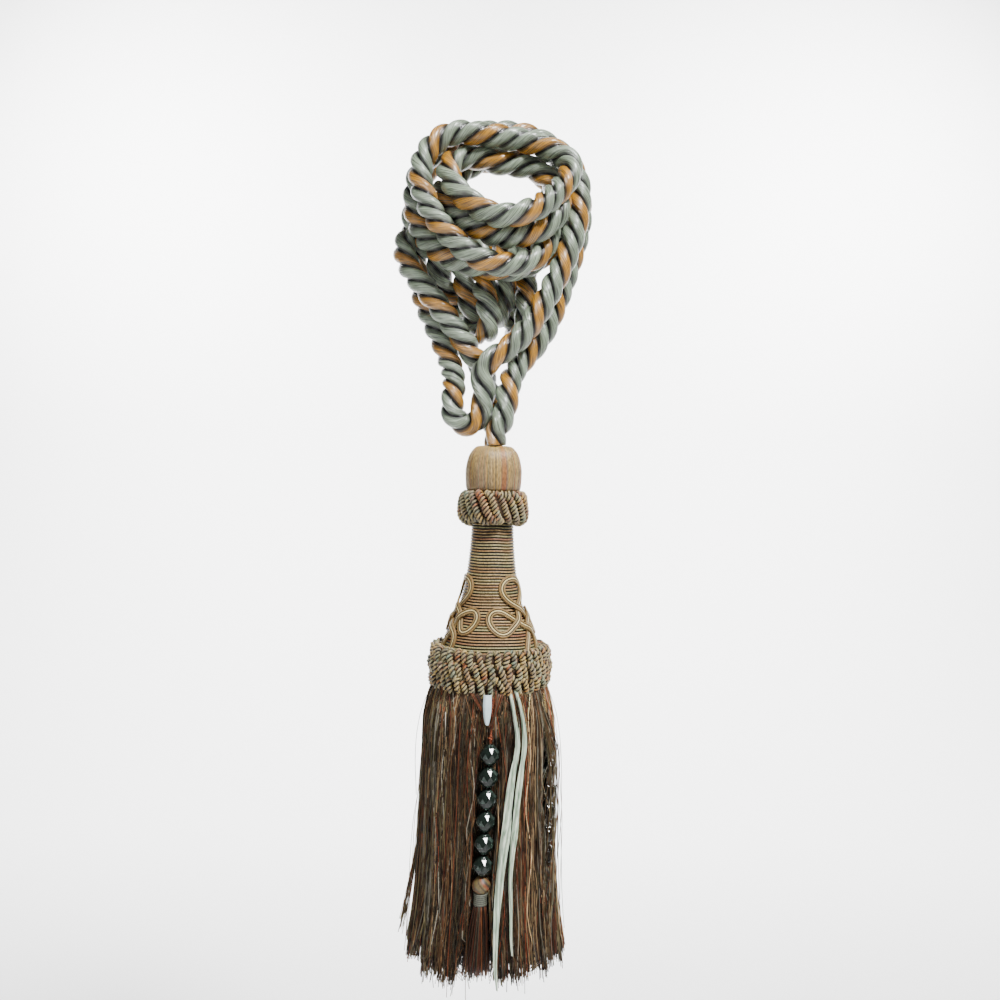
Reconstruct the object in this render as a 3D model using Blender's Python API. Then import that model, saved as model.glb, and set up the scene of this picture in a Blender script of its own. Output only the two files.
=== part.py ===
"""A curtain tieback: a three-strand rope folded into a hanging bundle, and the large tassel it carries.

Metres, +Z up. The origin is the underside of the rope's crown, where a hook takes the bundle. The tassel
hangs plumb below it, and its front faces -Y.
"""

import math
from collections import namedtuple

import bmesh
import bpy
import numpy as np

MM = 0.001
GAP = 0.0003

# The rope.
ROPE_DIAMETER = 0.0140
TUBE_DIAMETER = 0.885 * ROPE_DIAMETER  # between the three strands' crests and the hollows between them
PASS_SPACING = 0.0137  # passes that touch press their strands together a little
TIGHTEST_BEND = 0.0076
ROPE_STEP = 0.004
SETTLING_ROUNDS = 400
END_SQUEEZE = 0.85  # the bound ends are thinner where they enter the cap
END_SQUEEZED_LENGTH = 0.014
TUBE_SAG = 0.0012  # how far the curve may bulge from the tube's straight runs
TUBE_LONGEST_RUN = 0.036

# The tassel's heights, downward from the hook.
CAP_TOP = -0.1595
CAP_BOTTOM = -0.1845
BELL_BOTTOM = -0.2830
RUFF_BOTTOM = -0.2967
SKIRT_BOTTOM = -0.4500

# The tassel's radii.
CAP_RADIUS = 0.0162
NECK_RADIUS = 0.0118
UPPER_RUFF_RADIUS = 0.0208
LOWER_RUFF_RADIUS = 0.0353

# The ruffs, rings of short cord loops: one under the cap and two rows round the foot of the bell.
UPPER_RUFF_TOP = CAP_BOTTOM - GAP
UPPER_RUFF_BOTTOM = -0.2040
LOWER_RUFF_TOP = -0.2710
LOWER_RUFF_MIDDLE = -0.2838
UPPER_RUFF_LOOPS = 21
LOWER_RUFF_LOOPS = 44
UPPER_RUFF_LEAN = 1.6  # how far a loop's foot leads its head, in loop widths
LOWER_RUFF_LEAN = 0.5
LOOP_VALLEY = 0.0011
UPPER_RUFF_INNER = NECK_RADIUS + 0.0006
LOWER_RUFF_INNER = 0.0300

# The scrolls on the bell: a flat band of cords side by side.
SCROLL_WIDTH = 0.0029
SCROLL_THICKNESS = 0.0013
SCROLL_LIFT = 0.0027  # where the band passes over itself
SCROLL_STANDOFF = 0.0006
SCROLL_POINTS = 84
SCROLL_ANGLES = (49, 169, 289)  # degrees from the front, towards +X

# The bead strings.
BEAD_DIAMETER = 0.0108
BEAD_SPACING = 0.0120
BEADS = 6
STRING_RADIUS = 0.0385  # from the tassel's axis to the beads
STRING_TOP_RADIUS = 0.0350
FIRST_BEAD = -0.3282
STRING_ANGLES = (2, 62, 144, 216)
STRING_LEAN = 2.6  # degrees, towards -X on the front string

Colour = namedtuple("Colour", "red green blue roughness")
SAGE = Colour(0.30, 0.36, 0.32, 0.55)
TAN = Colour(0.45, 0.34, 0.21, 0.60)
BROWN = Colour(0.14, 0.08, 0.045, 0.65)
GLASS = Colour(0.04, 0.07, 0.06, 0.08)
PALE = Colour(0.66, 0.74, 0.69, 0.40)
RUST = Colour(0.26, 0.11, 0.05, 0.60)

# The rope's passes from one end to the other, each a row of (x, y, z) in millimetres.
ROPE_PASSES = {
    "up from the cap": ((1, -6, -159), (1, -6, -153), (4, -6, -142), (5, -5, -131)),
    "right arm, behind": ((8, 2, -114), (21, 7, -94), (40, 10, -38), (44, 12, -14), (36, 19, 11)),
    "crown, rear": ((13, 23, 27), (-1, 22, 27), (-14, 22, 26), (-38, 20, 14)),
    "left arm, behind": (
        (-50, 23, -6), (-51, 23, -32), (-46, 14, -56), (-38, 5, -79), (-22, -3, -119),
    ),
    "bight below the neck": ((-23, -3, -138), (-18, -3, -145), (-11, -3, -145), (-6, -5, -129)),
    "right arm, in front": (
        (-7, -8, -114), (9, -7, -99), (29, -7, -66), (44, 1, -9), (34, 6, 13),
    ),
    "crown, middle": ((23, 8, 21), (11, 8, 25), (-12, 8, 25), (-34, 6, 17), (-47, 3, 1)),
    "front turn, lowest": (
        (-50, 1, -22), (-43, -4, -41), (-29, -8, -53), (-10, -9, -58), (6, -6, -57), (23, 4, -43),
        (30, 13, -19),
    ),
    "crown, inside rear": ((23, 17, 6), (12, 17, 12), (-12, 14, 11), (-29, 8, -3)),
    "front turn, middle": (
        (-33, -6, -20), (-25, -12, -32), (-15, -16, -39), (0, -17, -46), (14, -17, -47), (25, -15, -43),
        (34, -9, -31), (34, -1, -17),
    ),
    "crown, inside front": ((21, 3, -1), (0, 2, 3), (-11, 1, 6), (-27, -5, 1)),
    "front turn, highest": (
        (-26, -16, -15), (-14, -24, -29), (0, -30, -37), (12, -31, -36), (24, -27, -30), (38, -18, -13),
        (40, -11, -1),
    ),
    "crown, front": ((34, -7, 6), (14, -4, 14), (-10, -6, 17), (-30, -8, 16)),
    "front turn, outside": (
        (-43, -10, 1), (-41, -14, -20), (-22, -19, -46), (1, -21, -57), (22, -16, -50),
    ),
    "turn back inside": ((31, -2, -33), (27, 6, -26), (21, 10, -28), (17, 10, -38)),
    "right fold": (
        (17, 2, -76), (16, 9, -90), (12, 16, -91), (10, 23, -71), (10, 22, -61), (4, 23, -35),
    ),
    "over to the left fold": ((-4, 21, -30), (-14, 16, -33), (-20, 10, -42)),
    "left fold": (
        (-18, 5, -63), (-12, 5, -82), (-10, 6, -90), (-6, 1, -95), (-2, -5, -90), (-3, -7, -81),
        (-5, -3, -73), (-6, 2, -59),
    ),
    "over to the middle fold": ((-8, 9, -40), (-5, 12, -32), (1, 13, -30), (6, 10, -35)),
    "middle fold": (
        (6, 3, -68), (5, 5, -78), (0, 11, -84), (-9, 16, -83), (-24, 14, -69), (-31, 8, -53),
    ),
    "over to the left arm": ((-34, 9, -45), (-47, 12, -35), (-50, 9, -42)),
    "left arm, in front": ((-45, 0, -59), (-40, -3, -66), (-18, -4, -98)),
    "down to the cap": ((-9, 5, -111), (-5, 9, -120), (-1, 9, -141), (0, 6, -153), (0, 6, -159)),
}

Section = namedtuple("Section", "radius height")

CAP_PROFILE = (
    Section(0.0088, CAP_TOP),
    Section(0.0114, CAP_TOP - 0.0014),
    Section(0.0133, CAP_TOP - 0.0036),
    Section(0.0147, CAP_TOP - 0.0066),
    Section(0.0157, CAP_TOP - 0.0104),
    Section(CAP_RADIUS, CAP_TOP - 0.0145),
    Section(0.0160, CAP_TOP - 0.0200),
    Section(0.0154, CAP_BOTTOM),
)

BELL_PROFILE = (
    Section(0.0112, CAP_BOTTOM - GAP),
    Section(NECK_RADIUS, -0.2010),
    Section(0.0126, -0.2160),
    Section(0.0134, -0.2250),
    Section(0.0148, -0.2360),
    Section(0.0180, -0.2500),
    Section(0.0228, -0.2610),
    Section(0.0266, -0.2700),
    Section(0.0293, -0.2800),
    Section(0.0293, BELL_BOTTOM),
)

SKIRT_PROFILE = (
    Section(0.0290, BELL_BOTTOM - GAP),
    Section(0.0290, RUFF_BOTTOM - 0.0003),
    Section(0.0330, RUFF_BOTTOM - 0.0010),
    Section(0.0362, -0.3050),
    Section(0.0378, -0.3140),
    Section(0.0384, -0.3250),
    Section(0.0387, -0.3430),
    Section(0.0394, -0.3640),
    Section(0.0401, -0.3850),
    Section(0.0408, -0.4060),
    Section(0.0423, -0.4270),
    Section(0.0436, -0.4390),
    Section(0.0448, SKIRT_BOTTOM),
)
FREE_THREADS_FROM = 3  # the first row of the profile where the threads hang free
SKIRT_SEGMENTS = 72
LOCKS = 18
LOCK_DEPTH = 0.0009
LOCKS_DEEPEN_OVER = 0.05
RAGGED_EDGE = 0.0030
SKIRT_HOLLOW = ((0.62, 0.0015), (0.20, 0.0025))  # the underside: shares of its radius and their rise

# A bead string, downward from the ruff: its radii round its own axis, heights from the first bead's middle.
STRING_TOP = 0.0297
DROP_TOP = -(BEADS - 0.5) * BEAD_SPACING - GAP
DROP_PROFILE = (
    Section(0.0022, DROP_TOP),
    Section(0.0043, DROP_TOP - 0.0022),
    Section(0.0047, DROP_TOP - 0.0050),
    Section(0.0042, DROP_TOP - 0.0080),
    Section(0.0037, DROP_TOP - 0.0100),
    Section(0.0037, DROP_TOP - 0.0160),
    Section(0.0052, DROP_TOP - 0.0220),
    Section(0.0068, DROP_TOP - 0.0380),
    Section(0.0078, DROP_TOP - 0.0500),
)
STRING_CLEARANCE = 0.0010
CHANNEL_SHOULDER = 0.0024
STEM_RADIUS = 0.0009

Stitch = namedtuple("Stitch", "across height lifted")
# The scroll's line over the bell, in millimetres from its middle, from one tail to the other. "lifted" is 1
# where it passes over itself.
SCROLL = (
    Stitch(10.2, -270.2, 0),
    Stitch(8.4, -266.4, 0.4),
    Stitch(5.2, -263.6, 1.1),
    Stitch(2.4, -261.7, 0.7),
    Stitch(-1.8, -258.9, 0),
    Stitch(-6.4, -255.8, 0),
    Stitch(-11.0, -253.0, 0),
    Stitch(-15.6, -253.6, 0),
    Stitch(-18.8, -257.0, 0),
    Stitch(-18.8, -261.6, 0),
    Stitch(-15.4, -265.2, 0),
    Stitch(-11.0, -264.8, 0),
    Stitch(-6.4, -261.8, 0.3),
    Stitch(-2.8, -258.8, 1),
    Stitch(-0.9, -256.0, 0.6),
    Stitch(0.8, -252.4, 0),
    Stitch(3.6, -248.6, 0),
    Stitch(6.8, -244.6, 0),
    Stitch(7.4, -239.8, 0),
    Stitch(4.4, -236.0, 0),
    Stitch(0.0, -234.8, 0),
    Stitch(-4.4, -236.0, 0),
    Stitch(-7.4, -239.8, 0),
    Stitch(-6.8, -244.6, 0),
    Stitch(-3.0, -248.8, 0.5),
    Stitch(0.6, -251.7, 1),
    Stitch(4.0, -254.0, 0.5),
    Stitch(6.9, -256.8, 0),
    Stitch(9.8, -261.2, 0),
    Stitch(13.0, -264.8, 0),
    Stitch(16.4, -264.6, 0),
    Stitch(19.0, -260.8, 0),
    Stitch(18.2, -256.0, 0),
    Stitch(14.6, -253.2, 0),
    Stitch(10.4, -254.2, 0.5),
    Stitch(7.2, -257.4, 1),
    Stitch(5.6, -260.0, 0.4),
    Stitch(4.9, -263.4, 0),
    Stitch(3.4, -267.0, 0),
    Stitch(1.4, -270.2, 0),
)

Strip = namedtuple("Strip", "angle height width")
RIBBON_THICKNESS = 0.0010
RIBBON_STANDOFF = 0.0016  # over the skirt's nominal radius, clear of its locks
STUB_STANDOFF = 0.0032  # over the front bead string's stem too
LEFT_RIBBON = (
    Strip(20.0, -0.2985, 0.0016),
    Strip(22.0, -0.3090, 0.0018),
    Strip(24.0, -0.3220, 0.0024),
    Strip(21.5, -0.3340, 0.0038),
    Strip(18.5, -0.3480, 0.0048),
    Strip(16.0, -0.3640, 0.0050),
    Strip(13.6, -0.3800, 0.0046),
    Strip(11.2, -0.3960, 0.0040),
    Strip(9.4, -0.4120, 0.0036),
    Strip(8.6, -0.4270, 0.0030),
    Strip(8.4, -0.4400, 0.0022),
    Strip(9.6, -0.4520, 0.0014),
)
RIGHT_RIBBON = (
    Strip(26.0, -0.2985, 0.0016),
    Strip(29.0, -0.3090, 0.0018),
    Strip(30.0, -0.3220, 0.0024),
    Strip(28.2, -0.3340, 0.0034),
    Strip(25.6, -0.3480, 0.0040),
    Strip(23.0, -0.3640, 0.0038),
    Strip(20.6, -0.3800, 0.0028),
    Strip(19.2, -0.3960, 0.0020),
    Strip(19.8, -0.4120, 0.0018),
    Strip(19.6, -0.4250, 0.0016),
    Strip(20.2, -0.4350, 0.0014),
)
STUB = (
    Strip(-0.8, -0.2985, 0.0046),
    Strip(-0.8, -0.3050, 0.0044),
    Strip(-0.6, -0.3114, 0.0024),
)


def clear_scene():
    for item in list(bpy.data.objects):
        bpy.data.objects.remove(item, do_unlink=True)


def material(name, colour):
    made = bpy.data.materials.new(name)
    made.use_nodes = True
    shader = made.node_tree.nodes["Principled BSDF"]
    shader.inputs["Base Color"].default_value = (colour.red, colour.green, colour.blue, 1.0)
    shader.inputs["Roughness"].default_value = colour.roughness
    shader.inputs["Metallic"].default_value = 0.0
    return made


def add_object(name, data, colour):
    data.materials.append(material(name, colour))
    made = bpy.data.objects.new(name, data)
    bpy.context.scene.collection.objects.link(made)
    return made


def add_mesh(name, points, faces, colour):
    """One closed mesh, its faces turned outwards and shaded smooth but for its sharp edges."""
    mesh = bpy.data.meshes.new(name)
    mesh.from_pydata([tuple(p) for p in points], [], faces)
    work = bmesh.new()
    work.from_mesh(mesh)
    bmesh.ops.recalc_face_normals(work, faces=work.faces)
    work.to_mesh(mesh)
    work.free()
    mesh.shade_smooth()
    mesh.set_sharp_from_angle(angle=math.radians(40))
    return add_object(name, mesh, colour)


def spline(knots, samples):
    """A natural cubic spline through the knots, sampled evenly along its length."""
    knots = np.asarray(knots, float)
    times = np.concatenate([[0], np.cumsum(np.linalg.norm(np.diff(knots, axis=0), axis=1) ** 0.5)])
    span = np.diff(times)
    slope = np.diff(knots, axis=0) / span[:, None]
    count = len(knots)
    system = np.eye(count)
    right = np.zeros_like(knots)
    for k in range(1, count - 1):
        system[k, k - 1 : k + 2] = span[k - 1], 2 * (span[k - 1] + span[k]), span[k]
        right[k] = 6 * (slope[k] - slope[k - 1])
    bend = np.linalg.solve(system, right)
    at = np.linspace(0, times[-1], 20 * samples)
    piece = np.clip(np.searchsorted(times, at, side="right") - 1, 0, count - 2)
    width = span[piece][:, None]
    before = ((times[piece + 1] - at) / span[piece])[:, None]
    after = 1 - before
    fine = (
        before * knots[piece]
        + after * knots[piece + 1]
        + ((before**3 - before) * bend[piece] + (after**3 - after) * bend[piece + 1]) * width**2 / 6
    )
    return evenly(fine, samples)


def evenly(line, samples):
    """The same line with its points evenly spaced along it."""
    along = np.concatenate([[0], np.cumsum(np.linalg.norm(np.diff(line, axis=0), axis=1))])
    at = np.linspace(0, along[-1], samples)
    return np.stack([np.interp(at, along, line[:, k]) for k in range(3)], axis=1)


def line_length(line):
    return float(np.linalg.norm(np.diff(line, axis=0), axis=1).sum())


def settle(line):
    """Moves passes of the rope that are too close to each other apart, as they lie against each other in the
    bundle. Points near each other along the rope keep the distance that the tightest bend gives them."""
    step = line_length(line) / (len(line) - 1)
    first, second = np.triu_indices(len(line), 2)
    near = np.linalg.norm(line[first] - line[second], axis=1) < 2.6 * PASS_SPACING
    first, second = first[near], second[near]
    along = np.minimum((second - first) * step, math.pi * TIGHTEST_BEND)
    needed = np.minimum(PASS_SPACING, 2 * TIGHTEST_BEND * np.sin(along / (2 * TIGHTEST_BEND)))
    yielding = np.array([0.8, 1.3, 0.8])  # the bundle gives most from front to back
    shift = np.zeros_like(line)
    for _ in range(SETTLING_ROUNDS):
        moved = line + shift
        apart = moved[first] - moved[second]
        distance = np.linalg.norm(apart, axis=1)
        touching = distance < needed
        if not touching.any():
            break
        lack = (needed[touching] + 0.0001 - distance[touching]) / np.maximum(distance[touching], 1e-6)
        push = 0.5 * lack[:, None] * apart[touching] * yielding
        total = np.zeros_like(line)
        hits = np.zeros(len(line))
        np.add.at(total, first[touching], push)
        np.add.at(total, second[touching], -push)
        np.add.at(hits, first[touching], 1)
        np.add.at(hits, second[touching], 1)
        shift += 1.3 * total / np.maximum(hits, 1)[:, None]
        for _ in range(2):
            shift[1:-1] = (shift[:-2] + 2 * shift[1:-1] + shift[2:]) / 4
        shift[:3] = 0
        shift[-3:] = 0
    return line + shift


def rope_line():
    """The rope's settled centre line, a point every ROPE_STEP."""
    knots = MM * np.array([point for row in ROPE_PASSES.values() for point in row], float)
    drawn = spline(knots, 600)
    return settle(evenly(drawn, round(line_length(drawn) / ROPE_STEP)))


def fewest_points(line, sag, longest):
    """Indices of the points whose straight runs the line leaves by no more than sag."""
    kept = [0]
    while kept[-1] < len(line) - 1:
        start = kept[-1]
        reach = start + 1
        while reach < len(line) - 1:
            run = line[reach + 1] - line[start]
            between = line[start : reach + 2] - line[start]
            direction = run / np.linalg.norm(run)
            off = between - np.outer(between @ direction, direction)
            if np.linalg.norm(off, axis=1).max() > sag or np.linalg.norm(run) > longest:
                break
            reach += 1
        kept.append(reach)
    return kept


def add_tube(name, line, diameter, colour, radii):
    """A closed tube along a line, from a bevelled poly curve with filled caps."""
    curve = bpy.data.curves.new(name, "CURVE")
    curve.dimensions = "3D"
    curve.twist_mode = "MINIMUM"
    curve.render_resolution_u = 0
    curve.bevel_depth = diameter / 2
    curve.bevel_resolution = 2
    curve.use_fill_caps = True
    path = curve.splines.new("POLY")
    path.points.add(len(line) - 1)
    for k, point in enumerate(line):
        path.points[k].co = (*point, 1.0)
        path.points[k].radius = radii[k]
    return add_object(name, curve, colour)


def add_rope():
    line = rope_line()
    inner = fewest_points(line[2:-2], TUBE_SAG, TUBE_LONGEST_RUN)
    kept = [0, *(k + 2 for k in inner), len(line) - 1]  # the bound ends stay plumb
    along = np.linspace(0, line_length(line), len(line))
    from_end = np.minimum(along, along[-1] - along)[kept]
    radii = np.interp(from_end, [0, END_SQUEEZED_LENGTH], [END_SQUEEZE, 1.0])
    add_tube("rope", line[kept], TUBE_DIAMETER, SAGE, radii)


def turned(name, profile, segments, colour):
    """A solid of revolution round Z, closed by flat discs."""
    points = []
    for section in profile:
        for k in range(segments):
            turn = 2 * math.pi * k / segments
            across = section.radius * math.sin(turn)
            points.append((across, -section.radius * math.cos(turn), section.height))
    return add_mesh(name, points, grid_faces(len(profile), segments, ends=True), colour)


def grid_faces(rows, segments, ends=False, joined=False):
    """Quads between rows of points round an axis, with flat ends or the last row joined to the first."""
    faces = []
    for i in range(rows if joined else rows - 1):
        for k in range(segments):
            after = (k + 1) % segments
            row = i * segments
            below = (i + 1) % rows * segments
            faces.append((row + k, row + after, below + after, below + k))
    if ends:
        faces.append(tuple(range(segments)))
        faces.append(tuple((rows - 1) * segments + k for k in range(segments)))
    return faces


def ruff(name, top, bottom, inner, outer, loops, lean, colour):
    """A ring of short upright loops: an outline round the ring's section, swelling at each loop."""
    height = top - bottom
    section = (
        Section(inner, top),
        Section(outer - 0.26 * height, top),
        Section(outer, top - 0.46 * height),
        Section(outer - 0.18 * height, bottom),
        Section(inner, bottom),
    )
    segments = 2 * loops
    points = []
    for row, part in enumerate(section):
        outside = 0 < row < len(section) - 1
        shift = lean * (top - part.height) / height * 2 * math.pi / loops
        for k in range(segments):
            turn = 2 * math.pi * k / segments + (shift if outside else 0.0)
            radius = part.radius - (LOOP_VALLEY if outside and k % 2 else 0.0)
            points.append((radius * math.sin(turn), -radius * math.cos(turn), part.height))
    return add_mesh(name, points, grid_faces(len(section), segments, joined=True), colour)


def radius_at(profile, height):
    heights = [section.height for section in reversed(profile)]
    radii = [section.radius for section in reversed(profile)]
    return float(np.interp(height, heights, radii))


def add_scroll(name, angle):
    """A flat band that lies on the bell in loops and passes over itself."""
    knots = []
    for stitch in SCROLL:
        height = stitch.height * MM
        surface = radius_at(BELL_PROFILE, height)
        turn = math.radians(angle) + stitch.across * MM / surface
        radius = surface + SCROLL_STANDOFF + SCROLL_LIFT * stitch.lifted
        knots.append((radius * math.sin(turn), -radius * math.cos(turn), height))
    line = spline(knots, SCROLL_POINTS)
    ahead = np.gradient(line, axis=0)
    corners = []
    for point, along in zip(line, ahead):
        above = radius_at(BELL_PROFILE, point[2] + 0.002)
        slope = (above - radius_at(BELL_PROFILE, point[2] - 0.002)) / 0.004
        around = math.hypot(point[0], point[1])
        out = np.array([point[0] / around, point[1] / around, -slope])
        side = np.cross(along, out)
        side *= SCROLL_WIDTH / 2 / np.linalg.norm(side)
        top = np.cross(side, along)
        top *= SCROLL_THICKNESS / np.linalg.norm(top)
        corners += [point - side, point + side, point + side + top, point - side + top]
    add_mesh(name, corners, grid_faces(len(line), 4, ends=True), TAN)


def string_axis(number, below):
    """The place of a string's axis, below metres under its first bead's middle."""
    lean = STRING_LEAN if number == 0 else 0
    across = -math.tan(math.radians(lean)) * below
    turn = math.radians(STRING_ANGLES[number])
    out = float(np.interp(-below, [BEAD_SPACING / 2, STRING_TOP], [STRING_RADIUS, STRING_TOP_RADIUS]))
    return (
        out * math.sin(turn) + across * math.cos(turn),
        -out * math.cos(turn) + across * math.sin(turn),
        FIRST_BEAD - below,
    )


def bead_profile():
    profile = [Section(STEM_RADIUS, STRING_TOP), Section(STEM_RADIUS, BEAD_SPACING / 2)]
    for bead in range(BEADS):
        middle = -bead * BEAD_SPACING
        profile += [
            Section(0.30 * BEAD_DIAMETER, middle + 0.44 * BEAD_DIAMETER),
            Section(0.50 * BEAD_DIAMETER, middle),
            Section(0.30 * BEAD_DIAMETER, middle - 0.44 * BEAD_DIAMETER),
        ]
    return profile


def add_on_string(name, profile, number, segments, colour):
    """A turned solid on a bead string, its rows level but following the string's lean."""
    points = []
    for section in profile:
        x, y, z = string_axis(number, -section.height)
        for k in range(segments):
            turn = 2 * math.pi * k / segments
            points.append((x + section.radius * math.sin(turn), y - section.radius * math.cos(turn), z))
    add_mesh(name, points, grid_faces(len(profile), segments, ends=True), colour)


def string_radius(below):
    """The radius that a bead string needs, below metres under its first bead's middle."""
    if below < -1.25 * BEAD_SPACING:
        return STEM_RADIUS
    if below < -DROP_TOP:
        return BEAD_DIAMETER / 2
    return max(BEAD_DIAMETER / 2, radius_at(DROP_PROFILE, -below))


def skirt_radius(nominal, turn, height):
    """The skirt's radius: its locks, and the channels in which the bead strings lie."""
    ripple = math.sin(LOCKS * turn + 2.1 * math.sin(2 * turn)) + 0.6 * math.sin((LOCKS + 11) * turn + 1.3)
    depth = LOCK_DEPTH * min(1.0, (RUFF_BOTTOM - height) / LOCKS_DEEPEN_OVER)
    radius = nominal + 0.6 * depth * ripple
    for number in range(len(STRING_ANGLES)):
        below = FIRST_BEAD - height
        x, y, _ = string_axis(number, below)
        distance = math.hypot(x, y)
        away = math.remainder(turn - math.atan2(x, -y), 2 * math.pi)
        clear = string_radius(below) + STRING_CLEARANCE
        across = distance * math.sin(away)
        if math.cos(away) > 0 and abs(across) < clear + CHANNEL_SHOULDER:
            edge = math.sqrt(max(clear**2 - across**2, 0.0))
            radius = min(radius, distance * math.cos(away) - edge)
    return radius


def add_skirt():
    points = []
    for row, section in enumerate(SKIRT_PROFILE):
        for k in range(SKIRT_SEGMENTS):
            turn = 2 * math.pi * k / SKIRT_SEGMENTS
            free = row >= FREE_THREADS_FROM
            radius = skirt_radius(section.radius, turn, section.height) if free else section.radius
            height = section.height
            if row == len(SKIRT_PROFILE) - 1:
                height += RAGGED_EDGE * (0.5 + 0.5 * math.sin(LOCKS * turn + 0.7)) * math.sin(5 * turn) ** 2
            points.append((radius * math.sin(turn), -radius * math.cos(turn), height))
    rows = len(SKIRT_PROFILE)
    last = points[-SKIRT_SEGMENTS:]
    for share, rise in SKIRT_HOLLOW:
        points += [(x * share, y * share, SKIRT_BOTTOM + rise) for x, y, _ in last]
    add_mesh("skirt", points, grid_faces(rows + 2, SKIRT_SEGMENTS, ends=True), BROWN)


def add_ribbon(name, strips, standoff):
    """A narrow strip of ribbon that lies over the skirt."""
    corners = []
    for strip in strips:
        inner = radius_at(SKIRT_PROFILE, max(strip.height, SKIRT_BOTTOM)) + standoff
        outer = inner + RIBBON_THICKNESS
        turn = math.radians(strip.angle)
        half = strip.width / 2
        for radius, side in ((inner, -half), (inner, half), (outer, half), (outer, -half)):
            x = radius * math.sin(turn) + side * math.cos(turn)
            y = -radius * math.cos(turn) + side * math.sin(turn)
            corners.append((x, y, strip.height))
    add_mesh(name, corners, grid_faces(len(strips), 4, ends=True), PALE)


def add_ruffs():
    lower = LOWER_RUFF_LOOPS, LOWER_RUFF_LEAN
    outer = LOWER_RUFF_RADIUS
    ruff("ruff_upper", UPPER_RUFF_TOP, UPPER_RUFF_BOTTOM, UPPER_RUFF_INNER, UPPER_RUFF_RADIUS,
         UPPER_RUFF_LOOPS, UPPER_RUFF_LEAN, TAN)
    ruff("ruff_lower_top", LOWER_RUFF_TOP, LOWER_RUFF_MIDDLE, LOWER_RUFF_INNER, outer - 2 * GAP, *lower, TAN)
    ruff("ruff_lower_bottom", LOWER_RUFF_MIDDLE - GAP, RUFF_BOTTOM, LOWER_RUFF_INNER, outer, *lower, SAGE)


def add_tassel():
    turned("cap", CAP_PROFILE, 24, TAN)
    turned("bell", BELL_PROFILE, 28, TAN)
    add_ruffs()
    for number, angle in enumerate(SCROLL_ANGLES):
        add_scroll(f"scroll_{number}", angle)
    add_skirt()
    for number in range(len(STRING_ANGLES)):
        add_on_string(f"beads_{number}", bead_profile(), number, 8, GLASS)
        add_on_string(f"drop_{number}", DROP_PROFILE, number, 10, RUST)
    add_ribbon("ribbon_left", LEFT_RIBBON, RIBBON_STANDOFF)
    add_ribbon("ribbon_right", RIGHT_RIBBON, RIBBON_STANDOFF)
    add_ribbon("ribbon_stub", STUB, STUB_STANDOFF)


clear_scene()
add_rope()
add_tassel()
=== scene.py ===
"""The looks of a curtain tieback tassel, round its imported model.

Metres, +Z up, the front faces -Y. Angles round the tassel run from the front towards +X. The origin is the
underside of the rope's crown, and the tassel hangs plumb below it.
"""

import math
from collections import namedtuple

import bpy
import numpy as np
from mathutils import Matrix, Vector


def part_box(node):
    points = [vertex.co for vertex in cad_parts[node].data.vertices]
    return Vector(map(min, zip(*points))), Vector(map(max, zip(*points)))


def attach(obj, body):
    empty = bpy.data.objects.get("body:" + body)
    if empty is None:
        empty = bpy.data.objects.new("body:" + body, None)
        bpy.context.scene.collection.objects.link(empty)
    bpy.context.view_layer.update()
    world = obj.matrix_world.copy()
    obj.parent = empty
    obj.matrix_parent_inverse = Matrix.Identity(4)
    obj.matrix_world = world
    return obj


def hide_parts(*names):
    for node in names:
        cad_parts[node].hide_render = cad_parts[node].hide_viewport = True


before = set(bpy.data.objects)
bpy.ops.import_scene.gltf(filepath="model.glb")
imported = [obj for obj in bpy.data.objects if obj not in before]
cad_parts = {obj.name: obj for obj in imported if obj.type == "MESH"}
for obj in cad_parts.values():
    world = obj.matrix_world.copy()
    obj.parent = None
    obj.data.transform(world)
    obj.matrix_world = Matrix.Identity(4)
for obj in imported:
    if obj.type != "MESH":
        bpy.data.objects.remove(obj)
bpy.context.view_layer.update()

MM = 0.001
TAU = 2 * math.pi
chance = np.random.default_rng(7)

# The camera, at the height and distance from which the tassel is seen.
CAMERA_PLACE = (0.004, -0.580, -0.1902)
CAMERA_ROLL = math.radians(1.2)
LENS = 36.0  # as long as the sensor is wide

# The tassel's heights.
CAP_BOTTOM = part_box("cap")[0][2]
CAP_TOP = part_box("cap")[1][2]
BELL_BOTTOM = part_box("bell")[0][2]
SKIRT_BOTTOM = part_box("skirt")[0][2]
SKIRT_TOP = -0.2925  # where the looks' threads and ribbons come out, behind the lowest loops

# The rope: how it settles and its route, the same as in the model's source.
PASS_SPACING = 0.0137
TIGHTEST_BEND = 0.0076
ROPE_STEP = 0.004
SETTLING_ROUNDS = 400
REACH = 2.6  # in pass spacings, how far apart passes can start and still meet
GAP = 0.0001  # left between passes that were pushed apart
YIELDING = (0.8, 1.3, 0.8)  # the bundle gives most from front to back
HASTE = 1.3  # how far each round moves them, in shares of the way
ROPE_RING_STEP = 0.0015
ROPE_LAY = 0.0354  # one whole turn of a strand round the rope
STRANDS = 3
STRAND_OFFSET = 0.0037
STRAND_DEPTH = 0.0033  # a strand's half size outwards
STRAND_BREADTH = 0.0039  # and round the rope, where its slant makes it wider
STRAND_ARC_POINTS = 14
END_SQUEEZE = 0.85
END_SQUEEZED_LENGTH = 0.014

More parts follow.
